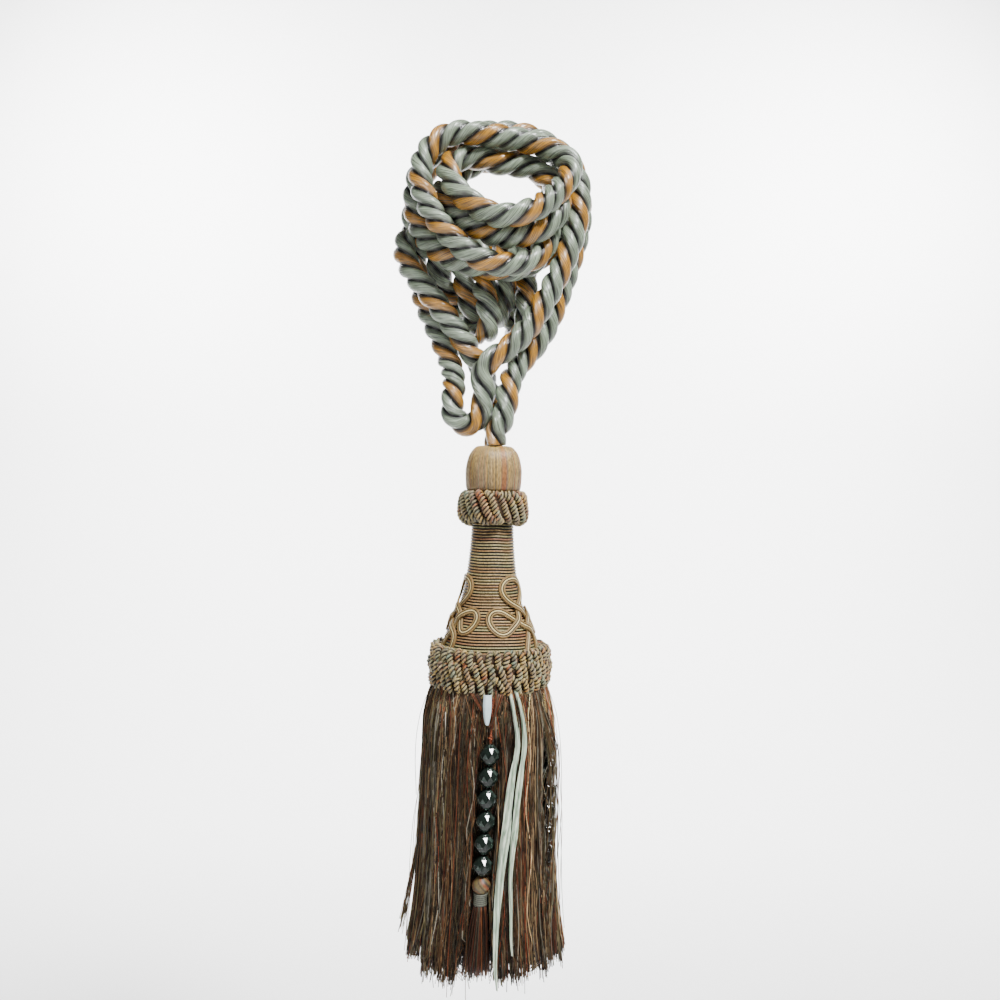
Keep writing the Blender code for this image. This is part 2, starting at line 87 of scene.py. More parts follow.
# The rope's middle line in millimetres, pass by pass from one end to the other.
ROPE_PASSES = {
    "up from the cap": ((1, -6, -159), (1, -6, -153), (4, -6, -142), (5, -5, -131)),
    "right arm, behind": ((8, 2, -114), (21, 7, -94), (40, 10, -38), (44, 12, -14), (36, 19, 11)),
    "crown, rear": ((13, 23, 27), (-1, 22, 27), (-14, 22, 26), (-38, 20, 14)),
    "left arm, behind": ((-50, 23, -6), (-51, 23, -32), (-46, 14, -56), (-38, 5, -79), (-22, -3, -119)),
    "bight below the neck": ((-23, -3, -138), (-18, -3, -145), (-11, -3, -145), (-6, -5, -129)),
    "right arm, in front": ((-7, -8, -114), (9, -7, -99), (29, -7, -66), (44, 1, -9), (34, 6, 13)),
    "crown, middle": ((23, 8, 21), (11, 8, 25), (-12, 8, 25), (-34, 6, 17), (-47, 3, 1)),
    "front turn, lowest": ((-50, 1, -22), (-43, -4, -41), (-29, -8, -53), (-10, -9, -58), (6, -6, -57),
        (23, 4, -43), (30, 13, -19)),
    "crown, inside rear": ((23, 17, 6), (12, 17, 12), (-12, 14, 11), (-29, 8, -3)),
    "front turn, middle": ((-33, -6, -20), (-25, -12, -32), (-15, -16, -39), (0, -17, -46), (14, -17, -47),
        (25, -15, -43), (34, -9, -31), (34, -1, -17)),
    "crown, inside front": ((21, 3, -1), (0, 2, 3), (-11, 1, 6), (-27, -5, 1)),
    "front turn, highest": ((-26, -16, -15), (-14, -24, -29), (0, -30, -37), (12, -31, -36), (24, -27, -30),
        (38, -18, -13), (40, -11, -1)),
    "crown, front": ((34, -7, 6), (14, -4, 14), (-10, -6, 17), (-30, -8, 16)),
    "front turn, outside": ((-43, -10, 1), (-41, -14, -20), (-22, -19, -46), (1, -21, -57), (22, -16, -50)),
    "turn back inside": ((31, -2, -33), (27, 6, -26), (21, 10, -28), (17, 10, -38)),
    "right fold": ((17, 2, -76), (16, 9, -90), (12, 16, -91), (10, 23, -71), (10, 22, -61), (4, 23, -35)),
    "over to the left fold": ((-4, 21, -30), (-14, 16, -33), (-20, 10, -42)),
    "left fold": ((-18, 5, -63), (-12, 5, -82), (-10, 6, -90), (-6, 1, -95), (-2, -5, -90), (-3, -7, -81),
        (-5, -3, -73), (-6, 2, -59)),
    "over to the middle fold": ((-8, 9, -40), (-5, 12, -32), (1, 13, -30), (6, 10, -35)),
    "middle fold": ((6, 3, -68), (5, 5, -78), (0, 11, -84), (-9, 16, -83), (-24, 14, -69), (-31, 8, -53)),
    "over to the left arm": ((-34, 9, -45), (-47, 12, -35), (-50, 9, -42)),
    "left arm, in front": ((-45, 0, -59), (-40, -3, -66), (-18, -4, -98)),
    "down to the cap": ((-9, 5, -111), (-5, 9, -120), (-1, 9, -141), (0, 6, -153), (0, 6, -159)),
}

# Turned profiles: radius and height, from the top down.
CAP_PROFILE = (
    (0.0084, CAP_TOP + 0.0003), (0.0102, CAP_TOP), (0.0119, CAP_TOP - 0.0014), (0.0136, CAP_TOP - 0.0036),
    (0.0149, CAP_TOP - 0.0066), (0.0158, CAP_TOP - 0.0104), (0.0163, CAP_TOP - 0.0145),
    (0.0161, CAP_TOP - 0.0200), (0.0153, CAP_BOTTOM), (0.0130, CAP_BOTTOM - 0.0012),
)

BELL_PROFILE = (
    (0.0115, -0.1900), (0.0118, -0.2010), (0.0126, -0.2160), (0.0134, -0.2250), (0.0148, -0.2360),
    (0.0180, -0.2500), (0.0228, -0.2610), (0.0266, -0.2700), (0.0293, -0.2800), (0.0298, BELL_BOTTOM),
)

SKIRT_PROFILE = (
    (0.0312, -0.2900), (0.0325, -0.2946), (0.0345, -0.2990), (0.0364, -0.3060), (0.0378, -0.3140),
    (0.0384, -0.3250), (0.0389, -0.3580), (0.0399, -0.3730), (0.0402, -0.3930), (0.0409, -0.4120),
    (0.0423, -0.4270), (0.0450, -0.4480), (0.0462, -0.4560),
)


def add_mesh(name, points, faces, material, smooth=True):
    mesh = bpy.data.meshes.new(name)
    mesh.from_pydata(np.asarray(points, float).reshape(-1, 3).tolist(), [], faces)
    mesh.materials.append(material)
    if smooth:
        mesh.shade_smooth()
    piece = bpy.data.objects.new(name, mesh)
    bpy.context.scene.collection.objects.link(piece)
    return piece


def place(piece, slot, *nodes):
    """The piece rides on the one body and stands for the nodes; the slot is not used."""
    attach(piece, "root")
    if nodes:
        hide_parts(*nodes)


def tint(piece, colours, domain="POINT"):
    """Gives each point, or each face, of the piece its own colour, as linear red, green and blue.

    Fewer colours than points are used again and again."""
    layer = piece.data.attributes.new("tint", "FLOAT_COLOR", domain)
    full = np.ones((len(layer.data), 4), np.float32)
    full[:, :3] = np.resize(colours, (len(full), 3))
    layer.data.foreach_set("color", full.ravel())


def linear(*colours):
    """Linear colour values from 0 to 255 ones as a screen shows them."""
    seen = np.array(colours, float) / 255
    return np.where(seen <= 0.04045, seen / 12.92, ((seen + 0.055) / 1.055) ** 2.4)


# ---- lines


def spline(knots, samples):
    """A natural cubic spline through the knots, sampled evenly along its length."""
    knots = np.asarray(knots, float)
    times = np.concatenate([[0], np.cumsum(np.linalg.norm(np.diff(knots, axis=0), axis=1) ** 0.5)])
    span = np.diff(times)
    slope = np.diff(knots, axis=0) / span[:, None]
    count = len(knots)
    system = np.eye(count)
    right = np.zeros_like(knots)
    for k in range(1, count - 1):
        system[k, k - 1 : k + 2] = span[k - 1], 2 * (span[k - 1] + span[k]), span[k]
        right[k] = 6 * (slope[k] - slope[k - 1])
    bend = np.linalg.solve(system, right)
    at = np.linspace(0, times[-1], 20 * samples)
    piece = np.clip(np.searchsorted(times, at, side="right") - 1, 0, count - 2)
    width = span[piece][:, None]
    before = ((times[piece + 1] - at) / span[piece])[:, None]
    after = 1 - before
    fine = (
        before * knots[piece]
        + after * knots[piece + 1]
        + ((before**3 - before) * bend[piece] + (after**3 - after) * bend[piece + 1]) * width**2 / 6
    )
    return evenly(fine, samples)


def evenly(line, samples):
    """The same line with its points evenly spaced along it."""
    along = distances(line)
    at = np.linspace(0, along[-1], samples)
    return np.stack([np.interp(at, along, line[:, k]) for k in range(3)], axis=1)


def distances(line):
    """How far along the line each of its points is."""
    return np.concatenate([[0], np.cumsum(np.linalg.norm(np.diff(line, axis=0), axis=1))])


def line_length(line):
    return float(distances(line)[-1])


def settle(line):
    """Moves apart the passes of the rope that are too close, as they lie against each other in the bundle.

    Points near each other along the rope keep the distance that the tightest bend gives them."""
    step = line_length(line) / (len(line) - 1)
    first, second = np.triu_indices(len(line), 2)
    near = np.linalg.norm(line[first] - line[second], axis=1) < REACH * PASS_SPACING
    first, second = first[near], second[near]
    along = np.minimum((second - first) * step, math.pi * TIGHTEST_BEND)
    needed = np.minimum(PASS_SPACING, 2 * TIGHTEST_BEND * np.sin(along / (2 * TIGHTEST_BEND)))
    shift = np.zeros_like(line)
    for _ in range(SETTLING_ROUNDS):
        moved = line + shift
        apart = moved[first] - moved[second]
        distance = np.linalg.norm(apart, axis=1)
        touching = distance < needed
        if not touching.any():
            break
        lack = (needed[touching] + GAP - distance[touching]) / np.maximum(distance[touching], 1e-6)
        push = 0.5 * lack[:, None] * apart[touching] * YIELDING
        total = np.zeros_like(line)
        hits = np.zeros(len(line))
        for points, sign in ((first[touching], 1), (second[touching], -1)):
            np.add.at(total, points, sign * push)
            np.add.at(hits, points, 1)
        shift += HASTE * total / np.maximum(hits, 1)[:, None]
        for _ in range(2):
            shift[1:-1] = (shift[:-2] + 2 * shift[1:-1] + shift[2:]) / 4
        shift[:3] = 0
        shift[-3:] = 0
    return line + shift


def directions(line):
    ahead = np.gradient(line, axis=0)
    return ahead / np.linalg.norm(ahead, axis=1)[:, None]


def across_line(line):
    """Two directions across the line at each point, which turn about it as little as they can."""
    ahead = directions(line)
    side = np.zeros_like(line)
    start = np.array([1.0, 0.0, 0.0]) if abs(ahead[0][0]) < 0.8 else np.array([0.0, 1.0, 0.0])
    side[0] = start - ahead[0] * (start @ ahead[0])
    side[0] /= np.linalg.norm(side[0])
    for k in range(1, len(line)):
        kept = side[k - 1] - ahead[k] * (side[k - 1] @ ahead[k])
        side[k] = kept / np.linalg.norm(kept)
    return side, np.cross(ahead, side)


def add_tubes(name, rings, material, along=None, around=None):
    """One mesh of closed tubes, where rings[tube, ring, side] are its points.

    The fibres' own map, in millimetres, has along for each ring, and around for each side's start and end."""
    tubes, rows, sides, _ = rings.shape
    side = np.arange(sides)
    start = np.arange(tubes)[:, None, None] * rows * sides + np.arange(rows - 1)[:, None] * sides
    here = start + side
    after = start + (side + 1) % sides
    quads = np.stack([here, after, after + sides, here + sides], axis=-1).reshape(-1, 4)
    tops = np.arange(tubes)[:, None] * rows * sides + side[::-1]
    ends = np.arange(tubes)[:, None] * rows * sides + (rows - 1) * sides + side
    piece = add_mesh(name, rings, [*quads.tolist(), *tops.tolist(), *ends.tolist()], material)
    if along is not None:
        corners = np.zeros((tubes, rows - 1, sides, 4, 2))
        corners[..., 0, 0] = corners[..., 1, 0] = along[:-1, None]
        corners[..., 2, 0] = corners[..., 3, 0] = along[1:, None]
        corners[..., 0, 1] = corners[..., 3, 1] = around[0]
        corners[..., 1, 1] = corners[..., 2, 1] = around[1]
        full = np.zeros((len(piece.data.loops), 2))
        full[: corners.size // 2] = corners.reshape(-1, 2)
        piece.data.uv_layers.new(name="fibres").data.foreach_set("uv", full.ravel().astype(np.float32))
    return piece


def set_crest(piece, values):
    """How far out of its grooves each point of the piece stands, from 0 to 1.

    Fewer values than points are used again and again."""
    layer = piece.data.attributes.new("crest", "FLOAT", "POINT")
    layer.data.foreach_set("value", np.resize(values, len(layer.data)).astype(np.float32))


Outline = namedtuple("Outline", "points ply start end crest")


def twisted_outline(plies, offset, depth, breadth, arc_points):
    """The outline of plies that lie against each other round a middle, one arc for each ply."""
    half = math.pi / plies
    turn = np.linspace(math.pi / 2, math.pi, 2000)
    outside = math.sin(half) * (offset + depth * np.cos(turn)) - math.cos(half) * breadth * np.sin(turn)
    meets = turn[np.argmax(outside <= 0)]
    arc = np.linspace(-meets, meets, arc_points + 1)[:-1]
    step = arc[1] - arc[0]
    middle = TAU * np.arange(plies)[:, None] / plies
    out = offset + depth * np.cos(arc)
    across = breadth * np.sin(arc)
    points = np.stack([
        out * np.cos(middle) - across * np.sin(middle), out * np.sin(middle) + across * np.cos(middle),
    ], axis=-1).reshape(-1, 2)
    radius = np.linalg.norm(points, axis=1)
    size = (depth + breadth) / 2 / MM
    return Outline(
        points,
        np.repeat(np.arange(plies), arc_points),
        np.tile(arc * size, plies),
        np.tile((arc + step) * size, plies),
        (radius - radius.min()) / (radius.max() - radius.min()),
    )


def swept(line, outline, turn, size=None):
    """Rings of the outline along a line, each turned by its own angle and scaled by its own size."""
    side, up = across_line(line)
    cos, sin = np.cos(turn)[:, None], np.sin(turn)[:, None]
    across = outline[:, 0] * cos - outline[:, 1] * sin
    over = outline[:, 0] * sin + outline[:, 1] * cos
    if size is not None:
        across, over = across * size[:, None], over * size[:, None]
    return line[:, None] + across[..., None] * side[:, None] + over[..., None] * up[:, None]


def circle(sides):
    """The angles of even steps round a circle."""
    return TAU * np.arange(sides) / sides


def polar(angle, radius, height):
    """Angles, radii and heights as points."""
    angle, radius, height = np.broadcast_arrays(angle, radius, height)
    return np.stack([radius * np.sin(angle), -radius * np.cos(angle), height], axis=-1)


def radius_at(profile, height):
    radii, heights = np.array(profile[::-1]).T
    return np.interp(height, heights, radii)


# ---- materials


def begin_material(name, roughness, **fixed):
    """A material and its shader, with some of the shader's sockets set."""
    made = bpy.data.materials.new(name)
    made.use_nodes = True
    shader = made.node_tree.nodes["Principled BSDF"]
    shader.inputs["Roughness"].default_value = roughness
    for socket, value in fixed.items():
        shader.inputs[socket.replace("_", " ")].default_value = value
    return made, shader


def add_node(material, kind, inputs, **settings):
    """A node with its inputs set, or linked where an input is another node's output."""
    tree = material.node_tree
    made = tree.nodes.new("ShaderNode" + kind)
    for key, value in settings.items():
        setattr(made, key, value)
    for key, value in inputs.items():
        if isinstance(value, bpy.types.NodeSocket):
            tree.links.new(value, made.inputs[key])
        else:
            made.inputs[key].default_value = value
    return made


def times(material, colour, factor):
    """The colour multiplied by a factor from a node."""
    mixed = add_node(material, "Mix", {0: 1.0, 6: colour, 7: factor}, data_type="RGBA", blend_type="MULTIPLY")
    return mixed.outputs[2]


def ramp_between(material, value, dark, low, light, high):
    """A colour ramp: the dark colour where the value is low, and the light one where it is high."""
    ramp = add_node(material, "ValToRGB", {"Fac": value})
    for element, colour, position in zip(ramp.color_ramp.elements, (dark, light), (low, high)):
        element.color = (*colour, 1)
        element.position = position
    return ramp.outputs["Color"]


def spread_between(material, value, low, high, dark, light, kind="LINEAR"):
    """The value from low to high, stretched to run from dark to light."""
    ranged = add_node(
        material, "MapRange",
        {"Value": value, "From Min": low, "From Max": high, "To Min": dark, "To Max": light},
        interpolation_type=kind,
    )
    return ranged.outputs["Result"]


def fibres(material, length, width, detail=2.0, mapped=False):
    """Noise with grains of a given length along the fibres and width across them, in millimetres.

    The fibres run along the piece's own map, or else upright."""
    if mapped:
        source = add_node(material, "UVMap", {}, uv_map="fibres").outputs["UV"]
        scale = (1 / length, 1 / width, 1.0)
    else:
        source = add_node(material, "TexCoord", {}).outputs["Object"]
        scale = (1000 / width, 1000 / width, 1000 / length)
    grains = add_node(material, "Mapping", {"Vector": source, "Scale": scale})
    noise = add_node(
        material, "TexNoise", {"Vector": grains.outputs["Vector"], "Scale": 1.0, "Detail": detail}
    )
    return noise.outputs["Fac"]


def finish(material, shader, colour, height, strength, bump):
    """Gives the shader its colour, and its bumps, in millimetres."""
    raised = add_node(material, "Bump", {"Height": height, "Strength": strength, "Distance": bump * MM})
    material.node_tree.links.new(colour, shader.inputs["Base Color"])
    material.node_tree.links.new(raised.outputs["Normal"], shader.inputs["Normal"])


def yarn_material(name, roughness, grain, contrast, bump, groove_shade=None, mapped=False, **fixed):
    """Yarn whose colour is each point's tint, varied by grains along its fibres, with painted shade in its
    grooves.

    The shade in the grooves is given as how dark it is at their bottom, and between which shares of the crest
    it fades out."""
    made, shader = begin_material(name, roughness, **fixed)
    colour = add_node(made, "Attribute", {}, attribute_name="tint").outputs["Color"]
    fine = fibres(made, *grain, mapped=mapped)
    colour = times(made, colour, spread_between(made, fine, 0.32, 0.68, 1 - contrast, 1 + contrast))
    patches = fibres(made, 14.0, 6.0, 1.0)
    colour = times(made, colour, spread_between(made, patches, 0.3, 0.7, 0.90, 1.10))
    if groove_shade is not None:
        # Painted shade: the lower a point lies in the grooves, the darker it is.
        crest = add_node(made, "Attribute", {}, attribute_name="crest").outputs["Fac"]
        dark, deep, shallow = groove_shade
        colour = times(made, colour, spread_between(made, crest, deep, shallow, dark, 1.0, "SMOOTHSTEP"))
    finish(made, shader, colour, fine, 1.0, bump)
    return made


# ---- camera


def add_camera():
    """The camera, level and in front of the tassel, turned a little as it was held."""
    data = bpy.data.cameras.new("camera")
    data.lens = LENS
    data.sensor_width = LENS
    camera = bpy.data.objects.new("camera", data)
    camera.location = CAMERA_PLACE
    camera.rotation_euler = (math.pi / 2, -CAMERA_ROLL, 0)
    bpy.context.scene.collection.objects.link(camera)
    bpy.context.scene.camera = camera


add_camera()

# ---- rope

GREEN_STRAND = np.array([0.196, 0.244, 0.170])
GOLD_STRAND = np.array([0.370, 0.168, 0.009])

# Where the gold strand lies foremost on each row of the route: across and height, in millimetres.
GOLD_PLACES = {
    "right arm, behind": ((0, -125), (18, -101)),
    "left arm, behind": ((-41, -79), (-25, -106)),
    "bight below the neck": ((-20, -129), (-12, -143)),
    "right arm, in front": ((1, -105), (22, -82), (38, -53)),
    "front turn, lowest": ((-47, -33), (-29, -52)),
    "front turn, middle": ((-7, -41), (22, -44)),
    "front turn, highest": ((-28, -3), (-13, -28), (19, -31), (39, -15)),
    "front turn, outside": ((-38, 9), (-42, -14), (-28, -40), (-3, -58)),
    "right fold": ((16, -68),),
    "left fold": ((-6, -66),),
    "left arm, in front": ((-45, -52), (-30, -77), (-16, -103)),
}
PLACE_REACH = 0.030  # how far past the ends of its row a place is looked for


def rope_knots():
    return MM * np.array([point for row in ROPE_PASSES.values() for point in row], float)


def rope_line():
    drawn = spline(rope_knots(), 600)
    settled = settle(evenly(drawn, round(line_length(drawn) / ROPE_STEP)))
    return spline(settled, round(line_length(settled) / ROPE_RING_STEP))


def row_ends(along):
    """How far along the rope each row of its route starts and ends, about."""
    knots = rope_knots()
    knots_along = distances(knots) * along[-1] / line_length(knots)
    counts = np.cumsum([0, *(len(row) for row in ROPE_PASSES.values())])
    return {
        name: (knots_along[first], knots_along[last - 1])
        for name, first, last in zip(ROPE_PASSES, counts[:-1], counts[1:])
    }


def strand_turns(line, along):
    """How many turns the gold strand is ahead of an even lay, so that it lies foremost where it should."""
    side, up = across_line(line)
    ends = row_ends(along)
    places = []
    for row, spots in GOLD_PLACES.items():
        start, end = ends[row]
        own = np.flatnonzero((along > start - PLACE_REACH) & (along < end + PLACE_REACH))
        for spot in spots:
            k = own[np.argmin(np.linalg.norm(line[own][:, [0, 2]] - MM * np.array(spot), axis=1))]
            seen_from = np.array(CAMERA_PLACE) - line[k]
            facing = math.atan2(seen_from @ up[k], seen_from @ side[k]) / TAU
            places.append((along[k], facing + along[k] / ROPE_LAY))
    at, ahead = np.array(places).T
    return np.interp(along, at, np.unwrap(ahead, period=1))


def add_rope():
    """The rope of three strands, of which the first is gold."""
    line = rope_line()
    along = distances(line)
    turn = TAU * (strand_turns(line, along) - along / ROPE_LAY)
    from_end = np.minimum(along, along[-1] - along)
    size = np.interp(from_end, [0, END_SQUEEZED_LENGTH], [END_SQUEEZE, 1.0])
    outline = twisted_outline(STRANDS, STRAND_OFFSET, STRAND_DEPTH, STRAND_BREADTH, STRAND_ARC_POINTS)
    rings = swept(line, outline.points, turn, size)
    # The grooves between the strands get painted shade.
    material = yarn_material(
        "rope_yarn", 0.33, (9.0, 0.62), 0.85, 0.9, groove_shade=(0.008, 0.24, 0.96), mapped=True,
        Specular_IOR_Level=1.0, Coat_Weight=0.45, Coat_Roughness=0.22,
    )
    rope = add_tubes("twisted_rope", rings[None], material, along / MM, (outline.start, outline.end))
    strand = np.where(outline.ply[:, None] == 0, GOLD_STRAND, GREEN_STRAND)
    sides = np.tile(strand, (len(line) - 1, 1))
    tint(rope, np.concatenate([sides, [GREEN_STRAND, GREEN_STRAND]]), "FACE")
    set_crest(rope, outline.crest)
    place(rope, "rope_yarn", "rope")


add_rope()

# ---- cap and bell

Palette = namedtuple("Palette", "colours shares")


def palette(*yarns):
    """Yarns by their red, green and blue from 0 to 255, each with its share of them all."""
    table = np.array(yarns)
    return Palette(linear(*table[:, :3]), table[:, 3])


def pick(yarns, count):
    """Colours for a number of threads, drawn from a palette."""
    return yarns.colours[chance.choice(len(yarns.colours), count, p=yarns.shares)]


CAP_YARNS = palette(
    (196, 168, 116, 0.34), (176, 138, 106, 0.22), (212, 172, 92, 0.18), (182, 104, 60, 0.08),
    (150, 148, 118, 0.10), (132, 106, 100, 0.08),
)
BELL_YARNS = palette(
    (174, 150, 104, 0.40), (160, 126, 86, 0.24), (162, 150, 106, 0.16), (142, 100, 74, 0.10),
    (136, 130, 92, 0.10),
)
RUFF_YARNS = palette(
    (170, 148, 102, 0.34), (146, 138, 102, 0.20), (124, 136, 112, 0.14), (152, 90, 50, 0.10),
    (126, 102, 80, 0.12), (190, 158, 88, 0.10),
)
SKIRT_YARNS = palette(
    (94, 70, 46, 0.25), (52, 38, 25, 0.20), (112, 60, 38, 0.11), (106, 97, 68, 0.17), (68, 64, 50, 0.12),
    (164, 138, 100, 0.07), (158, 152, 134, 0.08),
)
DROP_YARNS = palette(
    (88, 46, 28, 0.26), (62, 38, 26, 0.26), (42, 33, 26, 0.26), (118, 74, 44, 0.10), (70, 66, 52, 0.12),
)

CAP_YARN_COUNT = 120
YARN_SIDES = 5
YARN_STAND = 0.00013  # how far a yarn stands out of the grooves beside it
YARN_SUNK = 0.00004
CAP_ROWS = 40
# How much of the cap's colour is its yarns' own, how much a golden painted light from above adds at the top,
# and how much a mauve tone adds towards the bottom.
CAP_OWN = 0.42
CAP_PAINTED_TOP_LIGHT = 0.34
CAP_MAUVE = 0.22
WINDING_PITCH = 0.00167
WINDING_ROWS = 8
BELL_SIDES = 80
UPPER_RUFF_BOTTOM = -0.2020
RUFF_SHADOW_REACH = 0.012  # how far down the bell the painted shadow of the upper ruff reaches


def smooth_profile(profile, rows):
    """Even rows down a turned profile, with the direction in which its surface faces."""
    line = spline([(*section, 0.0) for section in profile], rows)[:, :2]
    ahead = np.gradient(line, axis=0)
    ahead /= np.linalg.norm(ahead, axis=1)[:, None]
    return line, np.stack([-ahead[:, 1], ahead[:, 0]], axis=1)


def add_turned(name, rings, material):
    """A closed turned piece from rows of points."""
    return add_tubes(name, rings[None, :, ::-1], material)


def add_cap():
    """A mould wound from top to bottom with fine yarns that lie side by side."""
    sides = CAP_YARN_COUNT * YARN_SIDES
    line, outward = smooth_profile(CAP_PROFILE, CAP_ROWS)
    angle = circle(sides)
    across = np.abs(np.sin(angle * CAP_YARN_COUNT / 2))
    wander = 0.010 * np.sin(3 * angle + 1.0) * np.linspace(0, 1, len(line))[:, None]
    stand = YARN_STAND * across - YARN_SUNK
    radius = line[:, :1] + stand * outward[:, :1]
    height = line[:, 1:] + stand * outward[:, 1:]
    rings = polar(angle + wander, radius, height)
    # The grooves between the yarns get painted shade.
    material = yarn_material(
        "cap_yarn", 0.42, (2.4, 0.7), 0.42, 0.10, groove_shade=(0.12, 0.0, 0.95), Sheen_Weight=0.15,
        Sheen_Roughness=0.35,
    )
    cap = add_turned("wound_cap", rings, material)
    bands = np.repeat(pick(CAP_YARNS, CAP_YARN_COUNT // 3), 3, axis=0)
    yarns = np.where(chance.random((CAP_YARN_COUNT, 1)) < 0.55, bands, pick(CAP_YARNS, CAP_YARN_COUNT))
    yarns *= 1 + chance.normal(0, 0.18, (CAP_YARN_COUNT, 1))
    around = np.repeat(np.clip(yarns, 0.02, 1), YARN_SIDES, axis=0)[::-1]
    down = np.linspace(0, 1, len(line))[:, None, None]
    # Painted light from above: golden at the top and fading downwards. A mauve tone grows towards the bottom.
    painted_top_light, mauve = linear((226, 182, 84), (140, 106, 92))
    tint(cap, CAP_OWN * around + CAP_PAINTED_TOP_LIGHT * painted_top_light * (1 - down) + CAP_MAUVE * mauve * down)
    set_crest(cap, across[::-1])
    place(cap, "cap_yarn", "cap")


def add_bell():
    """A mould wound round and round with a fine cord."""
    length = line_length(smooth_profile(BELL_PROFILE, 400)[0])
    windings = round(length / WINDING_PITCH)
    line, outward = smooth_profile(BELL_PROFILE, windings * WINDING_ROWS + 1)
    share = (np.arange(len(line)) % WINDING_ROWS) / WINDING_ROWS
    crest = 1 - (2 * share - 1) ** 2
    stand = WINDING_PITCH * (0.46 * np.sqrt(crest) - 0.32)
    angle = circle(BELL_SIDES)
    radius = (line[:, 0] + stand * outward[:, 0])[:, None]
    height = (line[:, 1] + stand * outward[:, 1])[:, None] + 0.00012 * np.sin(5 * angle + 0.8)
    # The gaps between the windings get painted shade, nearly black.
    material = yarn_material(
        "bell_yarn", 0.50, (0.7, 0.7), 0.45, 0.08, groove_shade=(0.01, 0.55, 1.0),
        Specular_IOR_Level=0.2,
    )
    bell = add_turned("wound_bell", polar(angle, radius, height), material)
    winding = np.minimum(np.arange(len(line)) // WINDING_ROWS, windings - 1)
    colours = pick(BELL_YARNS, windings)[winding][:, None]
    other = pick(BELL_YARNS, windings)[winding][:, None]
    mixed = 0.5 + 0.5 * np.sin(2 * angle + 1.3 * winding[:, None])
    colours = colours + (other - colours) * 0.5 * mixed[..., None]
    # Painted shadow of the upper ruff, darkest right under it.
    below_ruff = np.maximum(UPPER_RUFF_BOTTOM - line[:, 1], 0)
    colours = colours * (1 - 0.5 * np.exp(-below_ruff / RUFF_SHADOW_REACH))[:, None, None]
    tint(bell, colours[:, ::-1])
    set_crest(bell, np.repeat(crest, BELL_SIDES))
    place(bell, "bell_yarn", "bell")


# ---- ruffs

# A row's path is the radius and height, in millimetres, along one loop from its head to its foot.
Row = namedtuple("Row", "name nodes loops size lean first rings path")

UPPER_ROW = Row("ruff_loops", ("ruff_upper",), 21, 0.98, 0.82, 0.2, 64, (
    (12.4, -187.4), (15.4, -186.6), (17.6, -187.6), (18.6, -191.0), (18.7, -196.4),
    (17.8, -200.4), (15.6, -202.0), (13.2, -201.4),
))
LOWER_ROWS = (
    Row("ruff_row_0", ("ruff_lower_top",), 43, 0.82, 0.03, 0.0, 38, (
        (28.6, -275.0), (31.0, -273.2), (33.0, -274.2), (33.6, -277.0), (32.6, -280.4), (29.8, -282.4),
    )),
    Row("ruff_row_1", ("ruff_lower_bottom",), 45, 0.82, 0.12, 0.5, 38, (
        (29.6, -281.4), (32.4, -279.8), (34.2, -281.4), (34.6, -284.6), (33.4, -288.2), (30.2, -290.0),
    )),
    Row("ruff_row_2", (), 43, 0.84, 0.08, 0.25, 38, (
        (29.4, -288.0), (32.0, -287.0), (33.8, -288.6), (34.2, -291.6), (32.8, -294.6), (30.0, -296.0),
    )),
)
LOOP_PLY_OFFSET = 0.00084
LOOP_PLY_RADIUS = 0.00136
LOOP_LAY = 0.0041
LOOP_SHADE = 0.0021  # how far apart a loop's changes of colour are
FRONT_DIP = 0.0016  # how much lower the ruff is in front
RUFF_CORE_ROWS = 24
RUFF_CORE_SIDES = 72
UPPER_CORE_PROFILE = (
    (0.0120, -0.1852), (0.0158, -0.1868), (0.0170, -0.1920), (0.0168, -0.1980), (0.0150, -0.2010),
    (0.0116, -0.2014),
)
LOWER_CORE_PROFILE = (
    (0.0284, -0.2740), (0.0310, -0.2750), (0.0318, -0.2800), (0.0322, -0.2880), (0.0314, -0.2930),
    (0.0290, -0.2940),
)


def add_ruff(row, dip, material):
    """A ring of short loops of two-ply cord. A row's lean is how far a loop's foot is ahead of its head."""
    outline = twisted_outline(2, LOOP_PLY_OFFSET, LOOP_PLY_RADIUS, LOOP_PLY_RADIUS, 6)
    radii, heights = np.array(row.path).T
    down = np.linspace(0, 1, len(row.path))
    rings = []
    colours = []
    for number in range(row.loops):
        angle = TAU * (number + row.first) / row.loops + chance.normal(0, 0.018)
        tilt = row.lean + chance.normal(0, 0.07)
        swell = chance.normal(0, 0.45)
        drop = chance.normal(0, 0.75)
        radius = (radii + swell * np.sin(math.pi * down)) * MM
        height = (heights + drop * down) * MM - dip * (0.5 + 0.5 * math.cos(angle))
        line = spline(polar(angle + tilt * (down - 0.5), radius, height), row.rings)
        along = distances(line)
        size = np.full(len(line), row.size + chance.normal(0, 0.05))
        lay = LOOP_LAY * (1 + chance.normal(0, 0.10))
        rings.append(swept(line, outline.points, TAU * (chance.random() + along / lay), size))
        shades = math.ceil(along[-1] / LOOP_SHADE) + 1
        beads = pick(RUFF_YARNS, 2 * shades).reshape(shades, 2, 3)
        beads = 0.62 * beads + 0.38 * pick(RUFF_YARNS, 1)
        beads = beads * (1 + chance.normal(0, 0.12, (shades, 2, 1)))
        at = np.clip(np.round(along / LOOP_SHADE + chance.random()).astype(int), 0, shades - 1)
        colours.append(beads[at][:, outline.ply])
    ruff = add_tubes(row.name, np.array(rings), material, along / MM, (outline.start, outline.end))
    tint(ruff, np.clip(colours, 0.01, 1))
    set_crest(ruff, outline.crest)
    place(ruff, "ruff_cord", *row.nodes)


def add_ruff_core(name, profile, dip, material):
    """The inside of a ruff, behind its loops, made dark as painted shade."""
    turn = circle(RUFF_CORE_SIDES)
    line, _ = smooth_profile(profile, RUFF_CORE_ROWS)
    height = line[:, 1:] - dip * (0.5 + 0.5 * np.cos(turn))
    core = add_turned(name, polar(turn, line[:, :1], height), material)
    tint(core, linear((70, 52, 36)))
    place(core, "ruff_cord")


